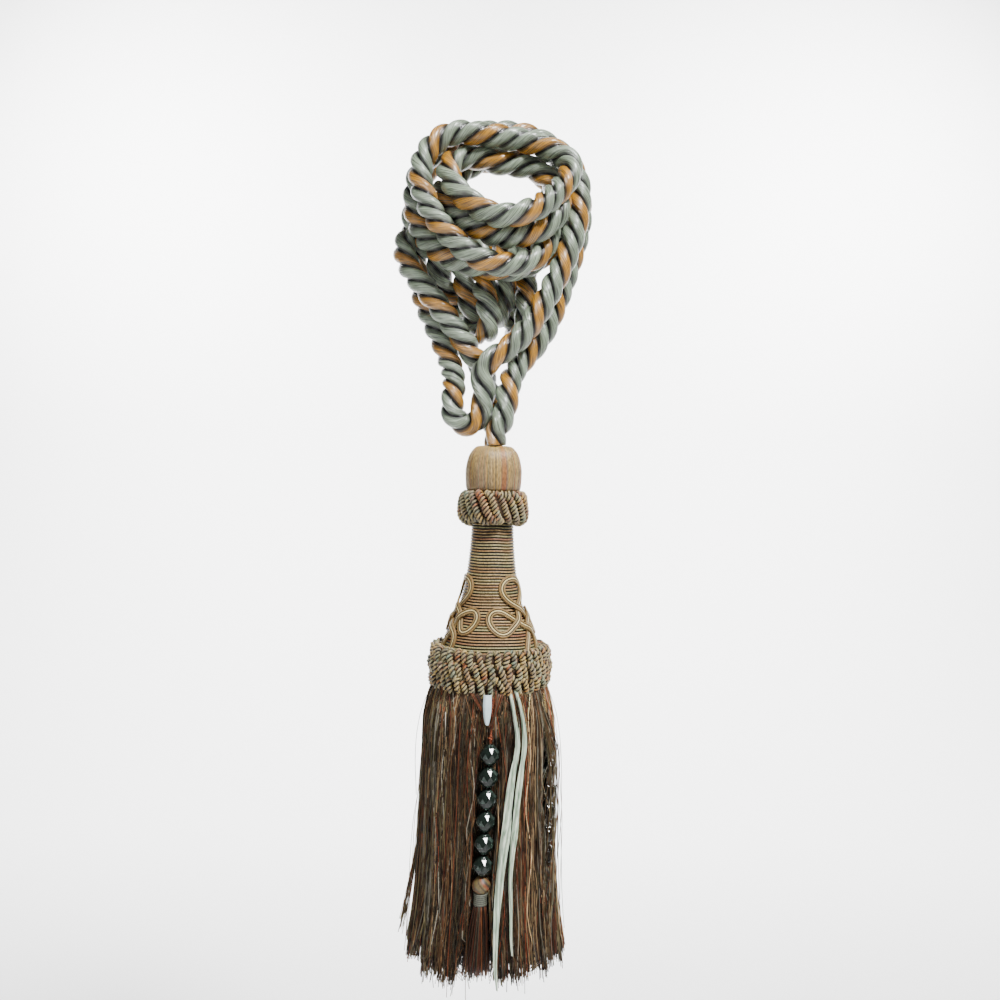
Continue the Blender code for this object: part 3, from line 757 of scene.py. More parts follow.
def add_ruffs():
    """The rows of loops under the cap and at the bell's foot, each round a core darkened as painted shade."""
    # The grooves between the plies get painted shade.
    material = yarn_material("ruff_cord", 0.5, (0.6, 0.4), 0.75, 0.28, groove_shade=(0.02, 0.08, 1.0), mapped=True)
    dark = yarn_material("ruff_inside", 0.8, (0.8, 0.8), 0.4, 0.2)
    add_ruff(UPPER_ROW, 0.0, material)
    add_ruff_core("ruff_core_upper", UPPER_CORE_PROFILE, 0.0, dark)
    for row in LOWER_ROWS:
        add_ruff(row, FRONT_DIP, material)
    add_ruff_core("ruff_core_lower", LOWER_CORE_PROFILE, FRONT_DIP, dark)


# ---- scrolls

# The scroll's outline over the bell from one tail to the other: across from its middle and height, in
# millimetres, and how far it is lifted, which is 1 where it passes over itself.
SCROLL = (
    (10.2, -270.2, 0), (8.4, -266.4, 0.4), (5.2, -263.6, 1.1), (2.4, -261.7, 0.7), (-1.8, -258.9, 0),
    (-6.4, -255.8, 0), (-11.0, -253.0, 0), (-15.6, -253.6, 0), (-18.8, -257.0, 0), (-18.8, -261.6, 0),
    (-15.4, -265.2, 0), (-11.0, -264.8, 0), (-6.4, -261.8, 0.3), (-2.8, -258.8, 1), (-0.9, -256.0, 0.6),
    (0.8, -252.4, 0), (3.6, -248.6, 0), (6.8, -244.6, 0), (7.4, -239.8, 0), (4.4, -236.0, 0),
    (0.0, -234.8, 0), (-4.4, -236.0, 0), (-7.4, -239.8, 0), (-6.8, -244.6, 0), (-3.0, -248.8, 0.5),
    (0.6, -251.7, 1), (4.0, -254.0, 0.5), (6.9, -256.8, 0), (9.8, -261.2, 0), (13.0, -264.8, 0),
    (16.4, -264.6, 0), (19.0, -260.8, 0), (18.2, -256.0, 0), (14.6, -253.2, 0), (10.4, -254.2, 0.5),
    (7.2, -257.4, 1), (5.6, -260.0, 0.4), (4.9, -263.4, 0), (3.4, -267.0, 0), (1.4, -270.2, 0),
)
SCROLL_ANGLES = (49, 169, 289)
SCROLL_TAILS = ((9.0, -277.0, 0), (-1.6, -277.0, 0))  # they go on under the loops
SCROLL_RINGS = 300
SCROLL_BASE = 0.0007
SCROLL_LIFT = 0.0013
GIMP_CORDS = 3
GIMP_CORD_RADIUS = 0.00068
GIMP_SPACING = 0.00128
GIMP_ARC = 9
GIMP_UNDERSIDE = -0.0005
OUTER_CREST = 0.85  # the band's outer flanks lie in no hollow, so little painted shade falls on them


def gimp_outline():
    """A flat band of cords side by side, each with a round back.

    Its points are across and out, and each has its crest and the number of its cord."""
    turn = np.linspace(math.radians(160), math.radians(20), GIMP_ARC)
    middle = (np.arange(GIMP_CORDS) - (GIMP_CORDS - 1) / 2)[:, None] * GIMP_SPACING
    out = GIMP_CORD_RADIUS * np.sin(turn) + 0 * middle
    backs = np.stack([middle + GIMP_CORD_RADIUS * np.cos(turn), out], axis=-1)
    half = GIMP_SPACING * GIMP_CORDS / 2
    points = np.concatenate([backs.reshape(-1, 2), [(half, GIMP_UNDERSIDE), (-half, GIMP_UNDERSIDE)]])
    crest = np.append(np.tile(np.sin(turn) ** 2, GIMP_CORDS), (0, 0))
    crest = np.where(np.abs(points[:, 0]) > GIMP_SPACING, OUTER_CREST, crest)
    cord = np.append(np.repeat(np.arange(GIMP_CORDS), GIMP_ARC), (GIMP_CORDS - 1, 0))
    return points[::-1], crest[::-1], cord[::-1]


def bell_out(angle, height):
    """Which way the bell's surface faces."""
    slope = (radius_at(BELL_PROFILE, height + 0.002) - radius_at(BELL_PROFILE, height - 0.002)) / 0.004
    out = polar(angle, 1.0, -slope)
    return out / np.linalg.norm(out, axis=-1, keepdims=True)


def scroll_line(middle):
    """The scroll's line on the bell, and which way the bell faces along it."""
    stitches = np.array([SCROLL_TAILS[0], *SCROLL, SCROLL_TAILS[1]])
    across, height = MM * stitches[:, :2].T
    surface = radius_at(BELL_PROFILE, height)
    angle = math.radians(middle) + across / surface
    lift = SCROLL_BASE + SCROLL_LIFT * stitches[:, 2:]
    line = spline(polar(angle, surface, height) + bell_out(angle, height) * lift, SCROLL_RINGS)
    return line, bell_out(np.arctan2(line[:, 0], -line[:, 1]), line[:, 2])


def add_scrolls():
    points, crest, cord = gimp_outline()
    # The grooves between the cords and the band's underside get painted shade.
    material = yarn_material(
        "scroll_gimp", 0.48, (0.7, 0.7), 0.2, 0.04, groove_shade=(0.015, 0.42, 1.0),
        Specular_IOR_Level=0.3,
    )
    cords = linear((136, 110, 68), (212, 190, 134), (130, 103, 62))
    for number, angle in enumerate(SCROLL_ANGLES):
        line, out = scroll_line(angle)
        ahead = directions(line)
        side = np.cross(ahead, out)
        side /= np.linalg.norm(side, axis=1)[:, None]
        rings = line[:, None] + points[:, 0, None] * side[:, None] + points[:, 1, None] * out[:, None]
        scroll = add_tubes(f"gimp_scroll_{number}", rings[None], material)
        tint(scroll, cords[cord])
        set_crest(scroll, crest)
        place(scroll, "scroll_gimp", f"scroll_{number}")


# ---- bead strings

BEAD_DIAMETER = 0.0108
BEAD_SPACING = 0.0120
BEADS = 6
STRING_RADIUS = 0.0385
STRING_TOP_RADIUS = 0.0350
STRING_TOP = 0.0297
FIRST_BEAD = -0.3282
STRING_ANGLES = (2, 62, 144, 216)
STRING_LEAN = 2.6  # degrees, towards -X on the front string
STRING_LAY = 0.003
# The corners of a bead's facets: radius and height, as shares of the bead's radius.
BEAD_FACETS = (
    (0.34, 1.02), (0.645, 0.73), (0.98, 0.25), (0.98, -0.25), (0.74, -0.72), (0.36, -1.04),
)
BEAD_SIDES = 9
# The glass's own dark colour, then the lighter colours painted on some facets as reflections: one for the
# dark beads, and one for the clear beads that is also their tint.
GLASS_DARK = (0.008, 0.013, 0.010)
GLASS_PAINTED_REFLECTION = (0.035, 0.052, 0.043)
GLASS_CLEAR_AND_REFLECTION = (0.62, 0.68, 0.62)


def string_axis(number, below):
    """The place of a string's axis, or places, below metres under its first bead's middle."""
    lean = STRING_LEAN if number == 0 else 0
    across = -math.tan(math.radians(lean)) * below
    turn = math.radians(STRING_ANGLES[number])
    out = np.interp(-below, [BEAD_SPACING / 2, STRING_TOP], [STRING_RADIUS, STRING_TOP_RADIUS])
    return polar(turn, out, FIRST_BEAD - below) + polar(turn + math.pi / 2, across, 0.0)


def add_beads(number, material):
    """Faceted beads: rows of points, each half a side round from the one above, with triangles between."""
    side = np.arange(BEAD_SIDES)
    points = []
    faces = []
    for bead in range(BEADS):
        middle = string_axis(number, bead * BEAD_SPACING)
        spin = 0.1 + chance.normal(0, 0.02)
        start = len(points)
        for row, (radius, height) in enumerate(BEAD_FACETS):
            turn = TAU * (side + 0.5 * row + spin) / BEAD_SIDES
            points += list(middle + polar(turn + math.pi / 2, radius, height) * BEAD_DIAMETER / 2)
        for row in range(len(BEAD_FACETS) - 1):
            upper = start + row * BEAD_SIDES
            lower = upper + BEAD_SIDES
            for k in range(BEAD_SIDES):
                faces.append((upper + k, lower + k, upper + (k + 1) % BEAD_SIDES))
                faces.append((upper + k, lower + (k - 1) % BEAD_SIDES, lower + k))
        faces += [(start + side).tolist(), (lower + side[::-1]).tolist()]
    beads = add_mesh(f"glass_beads_{number}", points, faces, material, smooth=False)
    place(beads, "bead_glass", f"beads_{number}")


def glass_material(name, clearness):
    """Dark grey-green cut glass. Painted reflections make the facets that face some ways lighter."""
    made, shader = begin_material(name, 0.05, IOR=1.5, Specular_IOR_Level=0.35, Transmission_Weight=clearness)
    # Painted reflection, chosen by the way each facet faces.
    facing = add_node(made, "NewGeometry", {})
    cells = add_node(made, "TexVoronoi", {"Vector": facing.outputs["Normal"], "Scale": 5.0})
    parts = add_node(made, "SeparateColor", {"Color": cells.outputs["Color"]})
    painted_reflection = GLASS_CLEAR_AND_REFLECTION if clearness > 0.5 else GLASS_PAINTED_REFLECTION
    colour = ramp_between(made, parts.outputs["Red"], GLASS_DARK, 0.66, painted_reflection, 0.80)
    made.node_tree.links.new(colour, shader.inputs["Base Color"])
    return made


def add_string_threads():
    """The thread that each string of beads hangs on, with a knot over the first bead."""
    material = yarn_material("string_thread", 0.6, (1.0, 0.2), 0.2, 0.04, mapped=True)
    outline = twisted_outline(2, 0.00030, 0.00042, 0.00042, 6)
    bottom = (BEADS - 0.4) * BEAD_SPACING
    for number in range(len(STRING_ANGLES)):
        line = string_axis(number, np.linspace(-STRING_TOP, bottom, 150))
        along = distances(line)
        knot = 1 + 1.5 * np.exp(-(((along - STRING_TOP + 0.0085) / 0.0012) ** 2))
        rings = swept(line, outline.points, -TAU * along / STRING_LAY, knot)
        around = (outline.start, outline.end)
        thread = add_tubes(f"string_thread_{number}", rings[None], material, along / MM, around)
        colour, inside = linear((128, 62, 32) if number == 0 else (140, 118, 70), (34, 30, 24))
        over = along < STRING_TOP - BEAD_DIAMETER / 2
        tint(thread, np.repeat(np.where(over[:, None], colour, inside), len(outline.crest), axis=0))
        place(thread, "drop_yarn")


# ---- drops under the beads

DROP_TOP = (BEADS - 0.5) * BEAD_SPACING + 0.0003
BALL_HEIGHT = 0.0088
BALL_RADIUS = 0.0049
BALL_RIDGE = 0.00018  # how far its threads stand out
COLLAR_HEIGHT = 0.0062
COLLAR_RADIUS = 0.0038
TUFT_LENGTH = 0.036
TUFT_NECK = 0.0034  # its radius at the top
TUFT_FOOT = 0.0078
TUFT_THREADS = 190
DROP_SIDES = 120
BALL_TWIST = 1.9  # radians that the ball's thread goes round on its way down
BALL_ROWS = 22
BALL_STRANDS = 30
COLLAR_TURNS = 12
COLLAR_SIDES = 40
BALL_YARNS = palette(
    (98, 84, 50, 0.26), (108, 60, 32, 0.24), (64, 50, 34, 0.20), (84, 76, 54, 0.16), (50, 38, 28, 0.14),
)


def string_ring(number, below, radius, turn):
    """Points round a string's axis."""
    return string_axis(number, below) + polar(turn, radius, 0.0)


def add_drop(number, wound_material, tuft_material):
    """A ball wound with thread, a wound collar and a tuft of thread."""
    turn = circle(DROP_SIDES)
    rings = []
    for share in np.linspace(0, 1, BALL_ROWS):
        radius = BALL_RADIUS * math.sin(math.pi * (0.12 + 0.76 * share)) ** 0.8
        ridged = radius + BALL_RIDGE * np.abs(np.sin(BALL_STRANDS / 2 * (turn + BALL_TWIST * share)))
        rings.append(string_ring(number, DROP_TOP + BALL_HEIGHT * share, ridged, turn))
    ball = add_turned(f"drop_ball_{number}", np.array(rings), wound_material)
    strands = np.repeat(pick(BALL_YARNS, BALL_STRANDS), DROP_SIDES // BALL_STRANDS, axis=0)
    shift = BALL_TWIST / BALL_ROWS / TAU * DROP_SIDES
    tint(ball, np.concatenate([np.roll(strands, -round(shift * row), axis=0) for row in range(BALL_ROWS)]))
    place(ball, "drop_yarn", f"drop_{number}")
    add_collar(number, wound_material)
    add_tuft(number, tuft_material)


def add_collar(number, material):
    """Turns of thread, four rings each, dark and light by turns."""
    step = np.arange(4 * COLLAR_TURNS + 1)[:, None]
    share = step / step[-1]
    waist = COLLAR_RADIUS - 0.0003 * np.sin(math.pi * share) + 0.00012 * np.abs(np.sin(math.pi * step / 4))
    turn = circle(COLLAR_SIDES)
    below = DROP_TOP + BALL_HEIGHT - 0.0003 + COLLAR_HEIGHT * share
    collar = add_turned(f"drop_collar_{number}", string_ring(number, below, waist, turn), material)
    grey = linear((92, 94, 82), (58, 60, 52))
    tint(collar, np.repeat(grey[(step[:, 0] // 4) % 2], COLLAR_SIDES, axis=0))
    place(collar, "drop_yarn")


def add_tuft(number, material):
    top = DROP_TOP + BALL_HEIGHT + COLLAR_HEIGHT - 0.0012
    share = np.linspace(0, 1, 10)
    around = chance.random(TUFT_THREADS) * TAU
    depth = np.sqrt(chance.random(TUFT_THREADS))
    length = TUFT_LENGTH * (1 + chance.normal(0, 0.05, TUFT_THREADS))
    flare = 1 + chance.normal(0, 0.10, TUFT_THREADS)
    radius = depth[:, None] * (TUFT_NECK + (TUFT_FOOT - TUFT_NECK) * share**0.8 * flare[:, None])
    turn = around[:, None] + 0.25 * share * np.sin(3 * around)[:, None]
    lines = string_axis(number, top + length[:, None] * share) + polar(turn, radius, 0.0)
    colours = pick(DROP_YARNS, TUFT_THREADS)
    add_threads(f"drop_tuft_{number}", lines, FINE_RADIUS, material, colours, "drop_yarn")


# ---- skirt

THREAD_SIDES = 3
THREAD_RADIUS = 0.00025
FINE_RADIUS = 0.00022
THREADS = 2900
THREAD_PIECES = 2
THREAD_ROWS = 22
ROOTS = 46
LOCKS = 40
SHOULDER = -0.3020  # where a highlight is painted on the threads, as light falls on them where they turn down
SHOULDER_REACH = 0.0130
SKIRT_END = -0.4490  # about where the locks' points are
END_SCATTER = 0.0026
INNER_THREADS = 1000
INNER_TOP = -0.4250
INNER_RADIUS = 0.00035  # thicker, as they are fewer
SKIRT_DEPTH = 0.0030  # how far in the threads that show lie
CORE_BOTTOM = -0.4360
CORE_ROWS = 30
CORE_SIDES = 120
STRING_CLEARANCE = 0.0005
BEADS_FROM = -0.0075  # above this place on a string there is only its thread
KNOT_NEEDS = 0.0014
TUFT_NEEDS = 0.0042  # at its top


def thread_rings(lines, thickness):
    """Rings round many nearly upright lines at once: lines[thread, row] are points."""
    out = lines[..., :2] / np.maximum(np.linalg.norm(lines[..., :2], axis=-1, keepdims=True), 1e-6)
    side = np.stack([-out[..., 1], out[..., 0], 0 * out[..., 0]], axis=-1)
    out = np.stack([out[..., 0], out[..., 1], 0 * out[..., 0]], axis=-1)
    turn = circle(THREAD_SIDES)
    cos, sin = np.cos(turn)[:, None], np.sin(turn)[:, None]
    thickness = np.broadcast_to(thickness, lines.shape[:2])[..., None, None]
    rings = lines[:, :, None] + thickness * (cos * out[:, :, None] + sin * side[:, :, None])
    return rings[:, :, ::-1]


def add_threads(name, lines, thickness, material, colours, slot):
    """Threads along the lines, one colour for each."""
    threads = add_tubes(name, thread_rings(lines, thickness), material)
    tint(threads, np.repeat(colours, lines.shape[1] * THREAD_SIDES, axis=0))
    place(threads, slot)


def clear_of_strings(radius, turn, height):
    """Threads pass behind the bead strings, in the channels where these lie."""
    below = FIRST_BEAD - height
    needs = np.where(below < BEADS_FROM, KNOT_NEEDS, BEAD_DIAMETER / 2) + STRING_CLEARANCE
    past_ball = below - DROP_TOP - BALL_HEIGHT
    needs = np.where(past_ball > 0, TUFT_NEEDS + 0.10 * past_ball, needs)
    for number in range(len(STRING_ANGLES)):
        places = string_axis(number, below)
        distance = np.hypot(places[..., 0], places[..., 1])
        away = turn - np.arctan2(places[..., 0], -places[..., 1])
        away = (away + math.pi) % TAU - math.pi
        across = distance * np.sin(away)
        behind = distance * np.cos(away) - np.sqrt(np.maximum(needs**2 - across**2, 0))
        inside = (np.abs(across) < needs) & (np.cos(away) > 0)
        radius = np.where(inside, np.minimum(radius, behind), radius)
    return radius


def skirt_radius(height):
    return radius_at(SKIRT_PROFILE, height)


def skirt_lines():
    """Threads that fan out from their roots under the ruff, cross each other and end in pointed locks.

    Their lines, and for each of them its lock and how deep in the skirt it is."""
    share = np.linspace(0, 1, THREAD_ROWS) ** 1.15
    around = (np.arange(THREADS) + chance.random(THREADS)) / THREADS * TAU
    chance.shuffle(around)
    root = np.round(around / TAU * ROOTS + chance.normal(0, 1.0, THREADS)) / ROOTS * TAU
    root += chance.normal(0, 0.008, THREADS)
    lock = np.floor(around / TAU * LOCKS).astype(int)
    lock_middle = (lock + 0.5 + chance.normal(0, 0.12, LOCKS)[lock]) / LOCKS * TAU
    off_middle = np.abs(around - lock_middle) * LOCKS / TAU
    depth = chance.random(THREADS) ** 1.4 * SKIRT_DEPTH
    bottom = SKIRT_END + chance.normal(0, END_SCATTER, LOCKS)[lock] + 0.0040 * off_middle
    bottom += chance.normal(0, END_SCATTER, THREADS)
    bottom += 0.0090 * (0.5 - 0.5 * np.cos(around)) - 0.0010 * np.sin(around)
    bottom -= 0.005 * (chance.random(THREADS) < 0.02)
    wave = chance.normal(0, 0.020, LOCKS)[lock] + chance.normal(0, 0.026, THREADS)
    astray = chance.normal(0, 0.030, (THREADS, 1))
    beat = 5 + 9 * chance.random(LOCKS)[lock] + 12 * chance.random(THREADS)
    phase = TAU * (chance.random(LOCKS)[lock] + 0.55 * chance.random(THREADS))
    together = 0.05 + 0.55 * chance.random(THREADS)
    height = SKIRT_TOP + (bottom[:, None] - SKIRT_TOP) * share
    fanned = np.clip(share / (0.10 + 0.20 * chance.random((THREADS, 1))), 0, 1)
    fanned = fanned * (2 - fanned)
    turn = root[:, None] + (around - root)[:, None] * fanned
    turn += wave[:, None] * np.sin(phase[:, None] + beat[:, None] * share) * fanned
    turn += astray * share
    pull = np.clip((share - 0.55) / 0.45, 0, 1) ** 1.8
    turn += (together[:, None] * pull) * (lock_middle - around)[:, None]
    radius = skirt_radius(height) - depth[:, None] - THREAD_RADIUS
    radius += chance.normal(0, 0.0011, LOCKS)[lock][:, None] * np.clip((share - 0.5) / 0.5, 0, 1) ** 2
    radius += 0.0004 * np.sin(phase[:, None] + 11 * share)
    return polar(turn, clear_of_strings(radius, turn, height), height), lock, depth


def add_skirt_threads(material):
    """The threads, some in the colour of their lock, with painted shade on the deep ones and a painted
    highlight where they turn down, in a few pieces.
    """
    lines, lock, depth = skirt_lines()
    rings = thread_rings(lines, THREAD_RADIUS * (1 + chance.normal(0, 0.15, (THREADS, 1))))
    grouped = pick(SKIRT_YARNS, LOCKS)[lock]
    colours = np.where(chance.random((THREADS, 1)) < 0.22, grouped, pick(SKIRT_YARNS, THREADS))
    # Painted shade: the deeper a thread lies, the darker it is.
    colours = colours * (1 - 0.92 * depth[:, None] / SKIRT_DEPTH)
    colours = colours * np.exp(chance.normal(-0.26, 0.64, (THREADS, 1)))
    # Painted highlight on the threads where they turn down.
    painted_highlight = 1 + 0.6 * np.exp(-(((lines[..., 2] - SHOULDER) / SHOULDER_REACH) ** 2))
    colours = colours[:, None] * painted_highlight[..., None] * (0.97, 0.95, 0.98)
    for number in range(THREAD_PIECES):
        own = slice(number, None, THREAD_PIECES)
        skirt = add_tubes(f"skirt_threads_{number}", rings[own], material)
        tint(skirt, np.repeat(np.clip(colours[own], 0, 1), THREAD_SIDES, axis=1))
        place(skirt, "skirt_thread", *(["skirt"] if number == 0 else []))


# Single threads that hang clear of the skirt: the angle in degrees, and in millimetres how far the end stands
# out, the heights of the top and bottom, and the bow between them.
STRAYS = (
    (-88, 2.0, -302, -362, 2.4), (-84, 1.0, -350, -444, 3.0), (-94, 2.5, -318, -404, -1.5),
    (-79, 1.5, -330, -448, 1.5), (88, 2.0, -310, -420, 3.0), (84, 3.0, -330, -436, 2.0),
    (93, 1.5, -300, -398, 4.0), (79, 2.0, -296, -446, 1.0), (-24, 0.8, -312, -458, 1.0),
    (-11, 1.2, -330, -463, 0.6), (30, 1.0, -320, -456, 1.2), (48, 1.6, -300, -452, 1.4),
    (128, 2.0, -310, -452, 2.4), (185, 2.4, -306, -455, 2.0), (236, 1.8, -322, -450, 2.6),
)
LOOSE_LOCK = (-90, 4.6, -390, -436, 0.5)
LOOSE_SPREAD = (2.0, 0.8, 3.0, 4.0, 0.5)
LOOSE_THREADS = 22
CROSSED_THREADS = 16  # from each side
CROSSED_RADIUS = 0.00026
KNOT_BELOW = -0.0145  # the crossed threads meet over the front string's first bead
COVERING_THREADS = 46
COVERING_RADIUS = 0.00020
COVERING_STANDOFF = 0.0062  # how far they pass from the string's axis


def add_stray_threads(material):
    """Single threads clear of the skirt, and a lock of them that stands out on its left."""
    lock = LOOSE_LOCK + chance.normal(0, 1, (LOOSE_THREADS, 5)) * LOOSE_SPREAD
    angle, out, top, bottom, bow = np.concatenate([STRAYS, lock]).T[..., None]
    share = np.linspace(0, 1, 24)
    height = (top + (bottom - top) * share) * MM
    turn = np.radians(angle + 1.6 * np.sin(5 * share + angle) * share)
    radius = skirt_radius(height) + MM * (out * share + bow * np.sin(math.pi * share)) - 0.0002
    colours = pick(SKIRT_YARNS, len(angle))
    add_threads("stray_threads", polar(turn, radius, height), FINE_RADIUS, material, colours, "skirt_thread")


def add_crossed_threads(material):
    """The threads that come from both sides of the front string and meet in its knot."""
    share = np.linspace(0, 1, 14)
    knot = string_axis(0, KNOT_BELOW)
    lines = []
    for side in (-1, 1):
        for _ in range(CROSSED_THREADS):
            angle = math.radians(side * chance.normal(11.0, 2.0))
            start = polar(angle, 0.0352 + 0.0010 * chance.random(), -0.2960)
            middle = (start + knot) / 2 + (0.0, -0.0022 - 0.0008 * chance.random(), 0.0015 * chance.random())
            end = knot + chance.normal(0, 0.0005, 3) + (0.0, -0.0012, 0.0)
            curve = ((1 - share) ** 2)[:, None] * start + (2 * share * (1 - share))[:, None] * middle
            lines.append(curve + (share**2)[:, None] * end)
    colours = pick(DROP_YARNS, len(lines)) * 1.4
    add_threads("crossed_threads", np.array(lines), CROSSED_RADIUS, material, colours, "drop_yarn")


def add_covering_threads(material):
    """Threads of the skirt that hang in front of the string on the right."""
    share = np.linspace(0, 1, THREAD_ROWS)
    count = COVERING_THREADS
    string = STRING_ANGLES[1]
    turn = np.radians(string + chance.normal(-7.5, 3.6, count))[:, None]
    sway = np.radians(chance.normal(0, 2.5, (count, 1)))
    turn = turn + sway * np.sin(6 * share + TAU * chance.random((count, 1)))
    height = -0.2930 - (0.150 + 0.008 * chance.random((count, 1))) * share
    rest = skirt_radius(height) - 0.0004
    beside = STRING_RADIUS * (turn - math.radians(string))
    over = STRING_RADIUS + np.sqrt(np.maximum(COVERING_STANDOFF**2 - beside**2, 0))
    near = np.clip((share - 0.10) / 0.14, 0, 1) * np.clip((1.02 - share) / 0.25, 0, 1)
    radius = np.maximum(rest, rest + (over - rest) * near + 0.0006 * chance.random((count, 1)))
    colours = pick(SKIRT_YARNS, count) * 0.6
    lines = polar(turn, radius, height)
    add_threads("covering_threads", lines, COVERING_RADIUS, material, colours, "skirt_thread")


def add_inner_threads(material):
    """Short lengths of the threads inside, which show from below."""
    share = np.linspace(0, 1, 4)
    around = chance.random((INNER_THREADS, 1)) * TAU
    reach = np.sqrt(chance.random((INNER_THREADS, 1))) * 0.93
    bottom = -0.4470 + chance.normal(0, 0.0020, (INNER_THREADS, 1))
    height = INNER_TOP + (bottom - INNER_TOP) * share
    radius = clear_of_strings(reach * skirt_radius(height), around, height)
    lines = polar(around, radius, height)
    colours = pick(SKIRT_YARNS, INNER_THREADS) * 0.7
    add_threads("skirt_inner_threads", lines, INNER_RADIUS, material, colours, "skirt_thread")


def add_skirt_core():
    """The threads deep inside the skirt, as one mass behind those that show, near-black as painted shade."""
    height = np.linspace(SKIRT_TOP, CORE_BOTTOM, CORE_ROWS)[:, None]
    turn = circle(CORE_SIDES)
    reach = skirt_radius(height) - SKIRT_DEPTH - 0.0004
    radius = reach - 0.0004 * np.abs(np.sin(30 * turn + 3 * np.sin(2 * turn)))
    radius = np.minimum(clear_of_strings(radius, turn, height), reach)
    material = yarn_material("skirt_core", 0.7, (30.0, 0.5), 0.5, 0.3)
    core = add_turned("skirt_core", polar(turn, radius, height), material)
    tint(core, linear((20, 12, 7)))
    place(core, "skirt_thread")


# ---- ribbons

RIBBON_STANDOFF = 0.0016
RIBBON_THICKNESS = 0.0004
RIBBON_CROWN = 0.0006
# Each ribbon's middle angle in degrees, its height and its width there.
LEFT_RIBBON = (
    (20.0, -0.2945, 0.0016), (22.0, -0.3090, 0.0018), (24.0, -0.3220, 0.0024), (21.5, -0.3340, 0.0038),
    (18.5, -0.3480, 0.0048), (16.0, -0.3640, 0.0050), (13.6, -0.3800, 0.0046), (11.2, -0.3960, 0.0040),
    (9.4, -0.4120, 0.0036), (8.6, -0.4270, 0.0030), (8.4, -0.4400, 0.0022), (9.6, -0.4520, 0.0009),
)
RIGHT_RIBBON = (
    (26.0, -0.2945, 0.0016), (29.0, -0.3090, 0.0018), (30.0, -0.3220, 0.0024), (28.2, -0.3340, 0.0034),
    (25.6, -0.3480, 0.0040), (23.0, -0.3640, 0.0038), (20.6, -0.3800, 0.0028), (19.2, -0.3960, 0.0020),
    (19.8, -0.4120, 0.0018), (19.6, -0.4250, 0.0016), (20.2, -0.4350, 0.0009),
)
STUB = (
    (-0.8, -0.2965, 0.0044), (-0.8, -0.3010, 0.0048), (-0.8, -0.3050, 0.0044), (-0.8, -0.3090, 0.0032),
    (-0.6, -0.3116, 0.0018),
)
RIBBON_ACROSS = 13
RIBBON_FOLD = 0.0010  # how high its creases stand


def ribbon_rings(strips, rows, standoff, crown, fold, thickness):
    """Rings of a narrow band over the skirt, its middle line, and how far out of a crease each point is.

    The band's middle stands out by crown, and its creases by fold."""
    angle, height, width = np.array(strips).T
    line = spline(np.stack([angle / 1000, height, width], axis=1), rows)
    turn, height, width = np.radians(line[:, :1] * 1000), line[:, 1:2], line[:, 2:]
    share = np.linspace(-1, 1, RIBBON_ACROSS)
    surface = skirt_radius(np.maximum(height, SKIRT_BOTTOM))
    surface = surface + standoff * np.clip((SKIRT_TOP - height) / 0.010, 0.1, 1)
    crease = np.cos(1.7 * math.pi * (share + 0.45 * np.sin(height / 0.013)))
    inner = surface + crown * (1 - share**2) + fold * crease * np.minimum(width / 0.0045, 1)
    across = share * width / 2
    out = np.concatenate([inner + thickness, inner[:, ::-1]], axis=1)
    sideways = np.concatenate([across, across[:, ::-1]], axis=1)
    rings = polar(turn, out, height) + polar(turn + math.pi / 2, sideways, 0.0)
    middle = polar(turn[:, 0], skirt_radius(line[:, 1]) + standoff, line[:, 1])
    return rings[:, ::-1], middle, 0.5 + 0.5 * np.concatenate([crease, crease[:, ::-1]], axis=1)


def satin_material():
    """Pale green satin with streaks down it, and painted shade in its creases."""
    made, shader = begin_material(
        "ribbon_satin", 0.34, Sheen_Weight=0.3, Sheen_Roughness=0.3, Anisotropic=0.5,
    )
    streaks = fibres(made, 14.0, 0.9, 2.0)
    dark, light = linear((140, 170, 142), (232, 244, 220))
    colour = ramp_between(made, streaks, dark, 0.34, light, 0.60)
    # Painted shade in the creases.
    crest = add_node(made, "Attribute", {}, attribute_name="crest").outputs["Fac"]
    crease = spread_between(made, crest, 0.0, 0.8, 0.55, 1.0, "SMOOTHSTEP")
    finish(made, shader, times(made, colour, crease), fibres(made, 0.25, 0.25, 1.0), 0.4, 0.05)
    return made


def add_ribbons():
    satin = satin_material()
    for side, strips in (("left", LEFT_RIBBON), ("right", RIGHT_RIBBON)):
        rings, middle, crest = ribbon_rings(
            strips, 120, RIBBON_STANDOFF, RIBBON_CROWN, RIBBON_FOLD, RIBBON_THICKNESS,
        )
        ribbon = add_tubes(f"satin_ribbon_{side}", rings[None], satin)
        set_crest(ribbon, crest)
        place(ribbon, "ribbon_satin", f"ribbon_{side}")
    rings, _, _ = ribbon_rings(STUB, 40, 0.0030, 0.0012, 0.0002, 0.0008)
    felt = yarn_material("stub_felt", 0.8, (0.5, 0.5), 0.10, 0.10)
    stub = add_tubes("felt_end", rings[None], felt)
    tint(stub, linear((186, 204, 208)))
    place(stub, "ribbon_satin", "ribbon_stub")


def add_tassel():
    add_cap()
    add_bell()
    add_ruffs()
    add_scrolls()
    glass = glass_material("bead_glass", 0.05)
    side_glass = glass_material("side_bead_glass", 0.75)
    thread = yarn_material(
        "skirt_thread", 0.5, (6.0, 1.0), 0.22, 0.02, Specular_IOR_Level=0.25,
    )
    drop = yarn_material("drop_yarn", 0.5, (2.0, 0.4), 0.2, 0.05)
    for number in range(len(STRING_ANGLES)):
        add_beads(number, side_glass if number else glass)
        add_drop(number, drop, thread)
    add_string_threads()
    add_skirt_core()
    add_skirt_threads(thread)
    add_inner_threads(thread)
    add_stray_threads(thread)
    add_crossed_threads(thread)
    add_covering_threads(thread)
    add_ribbons()


add_tassel()

# ---- room


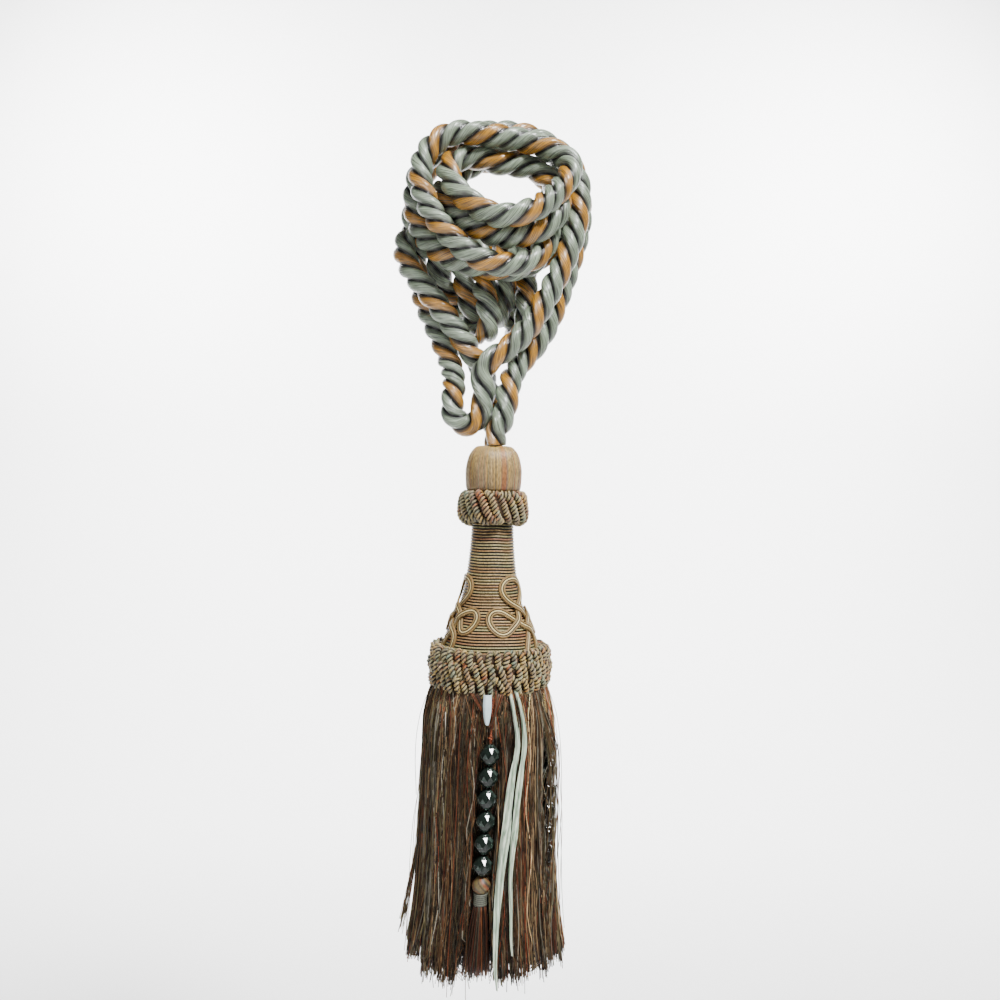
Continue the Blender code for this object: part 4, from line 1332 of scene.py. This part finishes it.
FLOOR = SKIRT_BOTTOM - 0.35
BEND_START = 1.2
BEND_RADIUS = 0.8
BEND_STEPS = 32
WORLD_STRENGTH = 0.14
TASSEL_MIDDLE = (0.0, 0.0, -0.2)
Light = namedtuple("Light", "name place target size power spread")
LIGHTS = (
    Light("key", (0.55, -0.75, 0.95), TASSEL_MIDDLE, 0.30, 58.0, 180),
    Light("fill", (-0.9, -1.0, 0.1), TASSEL_MIDDLE, 0.7, 5.0, 180),
    # These two are narrow enough to miss the tassel and light the backdrop only.
    Light("wall_-1", (-1.1, 0.9, 0.9), (-0.5, 2.0, 0.1), 0.8, 88.0, 140),
    Light("wall_1", (1.1, 0.9, 0.9), (0.5, 2.0, 0.1), 0.8, 88.0, 140),
)


def add_room():
    """A pale floor that rises into a backdrop."""
    made, _ = begin_material("backdrop", 0.9, Base_Color=(0.9, 0.9, 0.9, 1.0))
    turn = np.linspace(0, math.pi / 2, BEND_STEPS + 1)
    back, up = BEND_START + BEND_RADIUS * np.sin(turn), FLOOR + BEND_RADIUS * (1 - np.cos(turn))
    outline = [(-4.0, FLOOR), *zip(back, up), (BEND_START + BEND_RADIUS, 4.0)]
    points = [(x, y, z) for y, z in outline for x in (-5.0, 5.0)]
    faces = [(2 * i, 2 * i + 1, 2 * i + 3, 2 * i + 2) for i in range(len(outline) - 1)]
    add_mesh("backdrop", points, faces, made)


def add_light(light):
    """A round soft light that faces its target."""
    data = bpy.data.lights.new(light.name, "AREA")
    data.shape = "DISK"
    data.size = light.size
    data.energy = light.power
    data.spread = math.radians(light.spread)
    lamp = bpy.data.objects.new(light.name, data)
    lamp.location = light.place
    away = np.array(light.place) - np.array(light.target)
    lamp.rotation_euler = (
        math.atan2(math.hypot(away[0], away[1]), away[2]), 0, math.atan2(away[0], -away[1]),
    )
    bpy.context.scene.collection.objects.link(lamp)


def add_world():
    world = bpy.data.worlds.new("studio")
    world.use_nodes = True
    background = world.node_tree.nodes["Background"]
    background.inputs["Color"].default_value = (1.0, 1.0, 1.0, 1.0)
    background.inputs["Strength"].default_value = WORLD_STRENGTH
    bpy.context.scene.world = world


add_room()
add_world()
for light in LIGHTS:
    add_light(light)
